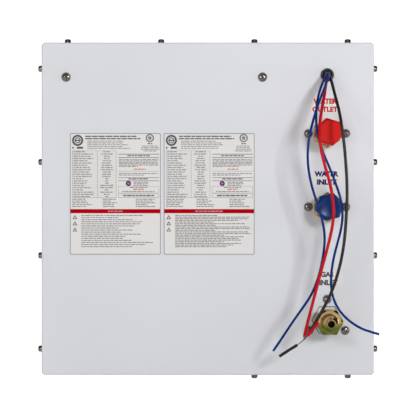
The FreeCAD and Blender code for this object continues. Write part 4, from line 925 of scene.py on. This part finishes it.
def rounded(left, low, wide, high, radius, steps=8):
    """The outline of a rectangle with round corners, in mm, anticlockwise from the lower right."""
    points = []
    for index, (cx, cy) in enumerate(((left + wide - radius, low + radius),
                                      (left + wide - radius, low + high - radius),
                                      (left + radius, low + high - radius), (left + radius, low + radius))):
        for step in range(steps + 1):
            turn = math.radians(-90 + 90 * index + 90 * step / steps)
            points.append((cx + radius * math.cos(turn), cy + radius * math.sin(turn)))
    return points


def plate(name, places, wide, high, corner, film):
    """One or more plates of one size, as a single piece."""
    mesh = bmesh.new()
    for left, low in places:
        sheet_of(mesh, rounded(left, low, wide, high, corner), 0.0, FILM)
    return finished(name, mesh, film)


# %% The two rating plates
RATING_WIDE = 88.4
RATING_HIGH = 118.2
RATING_LOW = -44.7
RATING_LEFTS = (-133.9, -42.9)
RATING_CORNER = 1.8
rating = plate("rating_plates", [(left, RATING_LOW) for left in RATING_LEFTS], RATING_WIDE, RATING_HIGH,
               RATING_CORNER, LABEL_FILM)
belongs(rating, "casing", "label_film", "rating_labels")
print("rating plates of %d faces" % len(rating.data.polygons))

# %% [markdown]
# ## The layout of a rating plate
# A page grid sets every mark, measured from a plate's upper left corner: a heading beside a round
# emblem, a table of two columns, a column of notes, a red band, and a list of cautions beside three
# triangles. A line of text is a run of word bars with seeded lengths, so it never repeats exactly.

# %% A page and its marks


class Page:
    """Collects bars, rings and triangles for one plate, sorted by ink."""

    def __init__(self, left, top, seed):
        self.left = left
        self.top = top
        self.chance = random.Random(seed)
        self.bars = {}
        self.shapes = []

    def bar(self, ink, x, y, wide, high):
        self.bars.setdefault(ink, []).append((self.left + x + wide / 2, self.top - y - high / 2, wide, high))

    def line(self, ink, x, y, wide, high=0.85, word=(1.4, 5.0), gap=0.65):
        """Word bars from x until the line is full."""
        at = x
        while at < x + wide - 0.8:
            long = min(self.chance.uniform(*word), x + wide - at)
            self.bar(ink, at, y, long, high)
            at += long + gap

    def centred(self, ink, middle_x, y, wide, high=0.85):
        self.line(ink, middle_x - wide / 2, y, wide, high)

    def block(self, ink, x, y, wide, lines, pitch, high=0.85):
        for index in range(lines):
            last = index == lines - 1
            self.line(ink, x, y + pitch * index, wide * (self.chance.uniform(0.4, 0.8) if last else 1), high)

    def box(self, ink, x, y, wide, high, line=0.25):
        for side_y in (y, y + high - line):
            self.bar(ink, x, side_y, wide, line)
        for side_x in (x, x + wide - line):
            self.bar(ink, side_x, y, line, high)

    def shape(self, ink, x, y, outer, inner=None, sides=40, turn=0.0):
        self.shapes.append((ink, self.left + x, self.top - y, outer, inner, sides, turn))


TABLE_LEFT, TABLE_TOP, TABLE_WIDE, TABLE_HIGH = 2.5, 17.2, 42.7, 45.7
TABLE_SPLIT = 26.8
TABLE_ROWS = 21
NOTES_LEFT, NOTES_WIDE, NOTES_MIDDLE = 47.1, 39.4, 66.8
BAND_TOP, CAUTIONS_TOP, CAUTIONS_HIGH = 73.9, 79.7, 30.2


def heading(page):
    page.shape("dark", 7.6, 7.2, 5.4, 3.6)
    page.shape("dark", 7.6, 7.2, 2.9, 2.0)
    page.bar("dark", 2.4, 13.5, 1.4, 1.7)
    page.bar("dark", 4.6, 6.6, 6.0, 1.3)
    page.bar("dark", 6.9, 13.4, 6.0, 1.9)
    page.line("dark", 15.0, 2.7, 50.5, 1.15, word=(3, 7))
    page.line("dark", 15.0, 5.0, 53.5, 1.15, word=(3, 7))
    for index in range(5):
        page.line("grey", 17.0, 7.6 + 1.75 * index, page.chance.uniform(32, 43), 0.7)
    page.shape("grey", 77.7, 4.9, 4.1, 2.7)
    page.shape("grey", 77.7, 4.9, 1.8)
    page.centred("dark", 77.7, 9.8, 4.5, 1.1)
    for index in range(4):
        page.centred("grey", 77.7, 12.3 + 1.6 * index, page.chance.uniform(11, 18), 0.75)


def table(page):
    page.box("grey", TABLE_LEFT, TABLE_TOP, TABLE_WIDE, TABLE_HIGH, 0.3)
    page.bar("grey", TABLE_SPLIT, TABLE_TOP, 0.25, TABLE_HIGH)
    for index in range(TABLE_ROWS):
        y = TABLE_TOP + TABLE_HIGH / TABLE_ROWS * index
        page.bar("pale", TABLE_LEFT, y, TABLE_WIDE, 0.16)
        page.line("grey", 3.6, y + 0.65, page.chance.uniform(9, 21), 0.85)
        page.centred("grey", 36.0, y + 0.65, page.chance.uniform(3, 13), 0.85)
    for x, wide in ((TABLE_LEFT, 21.5), (32.0, 17.5), (64.0, 22.0)):
        for row in range(5):
            page.line("grey", x, 63.9 + 1.75 * row, wide * page.chance.uniform(0.5, 1.0), 0.8)


def notes(page):
    for y, high in ((20.3, 0.7), (23.5, 0.7), (37.0, 0.3), (43.1, 0.6), (46.1, 0.6)):
        page.bar("grey", NOTES_LEFT, y, NOTES_WIDE, high)
    page.centred("dark", NOTES_MIDDLE, 21.6, 22, 1.0)
    page.block("grey", NOTES_LEFT + 0.5, 25.4, 38.4, 6, 1.35, 0.75)
    page.centred("light red", NOTES_MIDDLE + 1.1, 34.6, 11.7, 1.1)
    page.block("grey", NOTES_LEFT + 0.5, 39.0, 38.0, 2, 1.5, 0.75)
    page.centred("dark", NOTES_MIDDLE, 44.1, 20, 1.0)
    page.shape("navy", 56.9, 49.0, 2.5, 1.1)
    page.shape("light red", 56.9, 49.0, 1.0)
    for index in range(3):
        page.line("grey", 62.0, 47.4 + 1.5 * index, page.chance.uniform(12, 17.5), 0.8)
    page.box("grey", NOTES_LEFT, 51.6, NOTES_WIDE, 6.7)
    for ink, y, wide, high in (("grey", 52.5, 17, 0.8), ("light red", 54.1, 10, 1.1),
                               ("grey", 56.4, 32, 0.8)):
        page.centred(ink, NOTES_MIDDLE, y, wide, high)
    page.box("dark", NOTES_LEFT, 58.9, NOTES_WIDE, 3.8)
    page.centred("dark", NOTES_MIDDLE, 60.1, 30, 1.25)


def cautions(page, lines, title_wide):
    page.bar("red", 0.6, BAND_TOP, RATING_WIDE - 1.2, 4.0)
    page.centred("band", RATING_WIDE / 2, BAND_TOP + 1.4, title_wide, 1.3)
    for index in range(3):
        page.shape("dark", 5.0, 82.2 + 6.0 * index, 2.7, 1.3, sides=3, turn=math.radians(90))
    for index in range(lines):
        y = CAUTIONS_TOP + CAUTIONS_HIGH / (lines - 1) * index
        page.line("grey", 11.2, y, page.chance.uniform(0.45, 1.0) * 74, 0.8)


pages = []
for left, lines, title_wide, seed in ((RATING_LEFTS[0], 16, 14.0, 5), (RATING_LEFTS[1], 20, 27.0, 8)):
    page = Page(left, RATING_LOW + RATING_HIGH, seed)
    heading(page)
    table(page)
    notes(page)
    cautions(page, lines, title_wide)
    pages.append(page)
print("marks on the two pages:", [sum(len(bars) for bars in page.bars.values()) for page in pages])

# %% Ink for the pages
INKS = {"dark": DARK_INK, "grey": GREY_INK, "pale": PALE_INK, "red": RED_INK, "light red": LIGHT_RED_INK,
        "navy": NAVY_INK, "band": BAND_INK}
BORDER_INSET = 0.2
BORDER_LINE = 0.6


def unit_bar():
    """A thin slab of one by one, sized by the instancing tree; its back is left on the film."""
    mesh = bmesh.new()
    bmesh.ops.create_cube(mesh, size=1.0)
    mesh.transform(Matrix.Translation((0, 0, 0.5)))
    return finished("unit_bar", mesh)


def ink_bars(name, bars, base, ink):
    places = [(place(x, base, up), (0, -1, 0), (1, 0, 0), (wide * MM, high * MM, INK * MM))
              for x, up, wide, high in bars]
    return repeated(name, slab, ink, places)


slab = unit_bar()
prints = []
for ink, material in INKS.items():
    label = ink.replace(" ", "_")
    bars = [bar for page in pages for bar in page.bars.get(ink, [])]
    base = FILM + INK if ink == "band" else FILM
    if bars:
        prints.append(ink_bars("print_" + label, bars, base, material))
    shapes = [shape for page in pages for shape in page.shapes if shape[0] == ink]
    if shapes:
        mesh = bmesh.new()
        for _, x, up, outer, inner, sides, turn in shapes:
            hole = circle(x, up, inner, sides, turn) if inner else None
            sheet_of(mesh, circle(x, up, outer, sides, turn), FILM, INK, hole=hole)
        prints.append(finished("print_round_" + label, mesh, material))


def inset_outline(left, inset, corner):
    return rounded(left + inset, RATING_LOW + inset, RATING_WIDE - 2 * inset, RATING_HIGH - 2 * inset, corner)


mesh = bmesh.new()
for left in RATING_LEFTS:
    sheet_of(mesh, inset_outline(left, BORDER_INSET, RATING_CORNER - 0.3), FILM, INK,
             hole=inset_outline(left, BORDER_INSET + BORDER_LINE, RATING_CORNER - 0.6))
prints.append(finished("print_border", mesh, GREY_INK))
for piece in prints:
    belongs(piece, "casing", "label_film")
print("%d printed pieces" % len(prints))

# %% [markdown]
# ## The port plates
# Above each port a small cream plate says what it is for, in two lines of plain capitals. Text
# objects become meshes first, and then each word is scaled to its own width and height.

# %% Plates and words
PORT_WIDE = 29.0
PORT_HIGH = 14.4
PORT_CORNER = 1.2
WORD_HIGH = 5.3
LINE_PITCH = 7.9
PORT_WORDS = [
    ("hot", (99.2, 93.2), PORT_RED, (("WATER", 23.2, 0.2), ("OUTLET", 24.6, 0.0))),
    ("cold", (101.6, 22.6), NAVY_INK, (("WATER", 23.3, -1.0), ("INLET", 19.0, -0.7))),
    ("gas", (101.6, -74.9), DARK_INK, (("GAS", 12.4, -0.4), ("INLET", 17.8, 1.0))),
]
port_plates = plate("port_plates", [row[1] for row in PORT_WORDS], PORT_WIDE, PORT_HIGH, PORT_CORNER,
                    PORT_FILM)
belongs(port_plates, "casing", "label_film", "port_labels")


def word_mesh(word):
    text = bpy.data.curves.new("word", "FONT")
    text.body = word
    text.size = 1.0
    text.offset = 0.06
    text.extrude = 0.5
    text.resolution_u = 4
    holder = keep(bpy.data.objects.new("word", text))
    data = plain_mesh(holder)
    bpy.data.objects.remove(holder)
    return data


def printed_word(target, word, wide, high, centre_across, low):
    """Adds a word to the target mesh, stretched to its size and laid on the film."""
    data = word_mesh(word)
    xs = [vertex.co.x for vertex in data.vertices]
    ys = [vertex.co.y for vertex in data.vertices]
    stretch_x = wide / (max(xs) - min(xs))
    stretch_y = high / (max(ys) - min(ys))
    for vertex in data.vertices:
        x = centre_across + (vertex.co.x - (max(xs) + min(xs)) / 2) * stretch_x
        up = low + (vertex.co.y - min(ys)) * stretch_y
        vertex.co = place(x, FILM + INK * (vertex.co.z + 0.5), up)
    target.from_mesh(data)


for label, (left, low), ink, words in PORT_WORDS:
    mesh = bmesh.new()
    for index, (word, wide, shift) in enumerate(words):
        line_low = low + PORT_HIGH / 2 + LINE_PITCH / 2 - WORD_HIGH / 2 - LINE_PITCH * index
        printed_word(mesh, word, wide, WORD_HIGH, left + PORT_WIDE / 2 + shift, line_low)
    bmesh.ops.remove_doubles(mesh, verts=mesh.verts[:], dist=0.002 * MM)
    belongs(finished("words_" + label, mesh, ink), "casing", "label_film")
bpy.data.objects.remove(slab)
print("port words: %d" % sum(len(row[3]) for row in PORT_WORDS))

# %% [markdown]
# ## Louvre hoods on the door
# Rain must not blow in through the door's air slots, so each slot is pressed out into a hood that
# opens downwards. One hood is swept from a quarter-round section with closed ends, and the same
# instancing tree repeats it over the slots.

# %% One hood and its row
LOUVRE_LONG = 224.0
LOUVRE_HIGH = 9.0
LOUVRE_PROUD = 2.6
LOUVRE_PITCH = 14.0
LOUVRE_FIRST = -150.0
LOUVRES = 5
LOUVRE_WALL = 0.35
LOUVRE_BELOW = 0.45
END_SQUARE = 14
ACROSS_STEPS = 12
SECTION_STEPS = 8


def louvre_hood():
    """A hood over a slot, in metres, its mouth at the bottom and its back on the door."""
    mesh = bmesh.new()
    turns = [math.radians(90 * step / SECTION_STEPS) for step in range(SECTION_STEPS + 1)]
    section = [(LOUVRE_HIGH * (math.cos(turn) - LOUVRE_BELOW), LOUVRE_PROUD * math.sin(turn))
               for turn in turns]
    columns = []
    for step in range(ACROSS_STEPS + 1):
        share = 2 * step / ACROSS_STEPS - 1
        ease = math.sqrt(max(0.0, 1 - abs(share) ** END_SQUARE))
        across = LOUVRE_LONG / 2 * share
        columns.append([mesh.verts.new((across * MM, up * MM, max(0.02, proud * ease) * MM))
                        for up, proud in section])
    for left, right in zip(columns, columns[1:]):
        for low in range(len(section) - 1):
            mesh.faces.new((left[low], left[low + 1], right[low + 1], right[low])).smooth = True
    hood = finished("louvre_hood", mesh, sharp=50)
    wall = hood.modifiers.new("wall", "SOLIDIFY")
    wall.thickness = LOUVRE_WALL * MM
    wall.offset = -1
    data = plain_mesh(hood)
    hood.modifiers.remove(wall)
    hood.data = data
    return hood


door_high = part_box("access_door")[1]
hood = louvre_hood()
hood_places = []
for step in range(LOUVRES):
    spot = Vector((0, door_high.y, MIDDLE_Z + (LOUVRE_FIRST + LOUVRE_PITCH * step) * MM))
    hood_places.append((spot, (0, 1, 0), (-1, 0, 0), (1, 1, 1)))
hoods = repeated("door_louvre_hoods", hood, POWDER_COAT, hood_places)
bpy.data.objects.remove(hood)
belongs(hoods, "door", "white_powder_coat")
print("hoods reach y = %.4f m" % max(vertex.co.y for vertex in hoods.data.vertices))

# %% [markdown]
# ## The studio
# White sheet metal needs broad soft light to look smooth, and some darkness at the sides so that
# bright metal has an edge. The key box stands in front on the right and throws the wires' shadows; a
# weak one on the left and one above fill them. Two rims light the case's edges, a big box behind
# lights the door, and the floor and the backdrop are one plain pale sweep.

# %% Floor sweep
FLOOR_HALF = 6.0
SWEEP_RADIUS = 0.8
SWEEP_BACK = 5.0
WALL_HIGH = 3.0
WHITE_TO_CAMERA = 1.15
GLOW_SHARE = 0.97


def floor_sweep():
    mesh = bmesh.new()
    profile = [(-FLOOR_HALF, 0.0), (SWEEP_BACK, 0.0)]
    for step in range(1, 13):
        turn = math.radians(90 * step / 12)
        profile.append((SWEEP_BACK + SWEEP_RADIUS * math.sin(turn), SWEEP_RADIUS * (1 - math.cos(turn))))
    profile.append((SWEEP_BACK + SWEEP_RADIUS, WALL_HIGH))
    rows = [[mesh.verts.new((side * FLOOR_HALF, y, z)) for side in (-1, 1)] for y, z in profile]
    for low, high in zip(rows, rows[1:]):
        mesh.faces.new((low[0], low[1], high[1], high[0])).smooth = True
    return finished("studio_sweep", mesh)


def sweep_finish():
    """Pale paper that reads as clean white to the camera and still lights the object from below."""
    material = bpy.data.materials.new("studio paper")
    material.use_nodes = True
    tree = material.node_tree
    paper = tree.nodes["Principled BSDF"]
    paper.inputs["Base Color"].default_value = (0.88, 0.86, 0.82, 1)
    paper.inputs["Roughness"].default_value = 0.9
    glow = add(tree, "ShaderNodeEmission", Strength=WHITE_TO_CAMERA)
    rays = add(tree, "ShaderNodeLightPath")
    share = add(tree, "ShaderNodeMapRange", Value=rays.outputs["Is Camera Ray"], To_Max=GLOW_SHARE)
    mix = add(tree, "ShaderNodeMixShader", Fac=share.outputs["Result"])
    tree.links.new(paper.outputs["BSDF"], mix.inputs[1])
    tree.links.new(glow.outputs["Emission"], mix.inputs[2])
    tree.links.new(mix.outputs["Shader"], tree.nodes["Material Output"].inputs["Surface"])
    return material


sweep = floor_sweep()
sweep.data.materials.append(sweep_finish())
print("floor %.1f m wide" % (2 * FLOOR_HALF))

# %% Soft boxes


def soft_box(name, spot, aim, wide, high, power, tint):
    lamp = bpy.data.lights.new(name, "AREA")
    lamp.shape = "RECTANGLE"
    lamp.size = wide
    lamp.size_y = high
    lamp.energy = power
    lamp.color = tint
    stand = keep(bpy.data.objects.new(name, lamp))
    stand.location = spot
    stand.rotation_euler = (Vector(aim) - Vector(spot)).to_track_quat("-Z", "Y").to_euler()
    return stand


COOL = (0.97, 0.98, 1.0)
WHITE = (1, 1, 1)
FRONT_BOXES = [
    ("soft_box_left", (-0.64, -1.45, 0.22), 0.3, 0.3, 3.4, COOL),
    ("soft_box_right", (0.88, -2.25, 0.55), 0.4, 0.4, 28.2, COOL),
    ("soft_box_above", (0, -0.9, 1.5), 1.6, 0.5, 0.5, COOL),
    ("rim_box_right", (1.5, -0.35, 0), 0.25, 1.0, 5.0, WHITE),
    ("rim_box_left", (-1.5, -0.35, 0), 0.25, 1.0, 1.5, WHITE),
]
panel_middle = Vector((0, PANEL_Y, MIDDLE_Z))
for name, offset, wide, high, power, tint in FRONT_BOXES:
    soft_box(name, panel_middle + Vector(offset), panel_middle, wide, high, power, tint)
behind = soft_box("soft_box_behind", (-0.9, 2.4, 1.5), (0, 0, MIDDLE_Z), 1.2, 0.9, 48, WHITE)
behind.visible_glossy = False
print("%d soft boxes" % len(bpy.data.lights))

# %% Room light
ROOM_LOW = 0.08
ROOM_HIGH = 0.30
world = bpy.data.worlds.new("studio_room")
world.use_nodes = True
bpy.context.scene.world = world
room = world.node_tree
direction = add(room, "ShaderNodeTexCoord")
split = add(room, "ShaderNodeSeparateXYZ", Vector=direction.outputs["Generated"])
height = add(room, "ShaderNodeMapRange", Value=split.outputs["Z"], From_Min=-0.2, From_Max=0.9,
             To_Min=ROOM_LOW, To_Max=ROOM_HIGH)
ahead = add(room, "ShaderNodeMapRange", Value=split.outputs["Y"], From_Min=-0.15, From_Max=-1.0,
            To_Min=0.02, To_Max=0.42)
rays = add(room, "ShaderNodeLightPath").outputs
mirrored = add(room, "ShaderNodeMix", Factor=rays["Is Glossy Ray"], A=height.outputs["Result"],
               B=ahead.outputs["Result"])
seen = add(room, "ShaderNodeMix", Factor=rays["Is Camera Ray"], A=mirrored.outputs["Result"],
           B=WHITE_TO_CAMERA)
room.nodes["Background"].inputs["Color"].default_value = (1, 1, 1, 1)
room.links.new(seen.outputs["Result"], room.nodes["Background"].inputs["Strength"])
print("room light from %.2f at the floor to %.2f overhead" % (ROOM_LOW, ROOM_HIGH))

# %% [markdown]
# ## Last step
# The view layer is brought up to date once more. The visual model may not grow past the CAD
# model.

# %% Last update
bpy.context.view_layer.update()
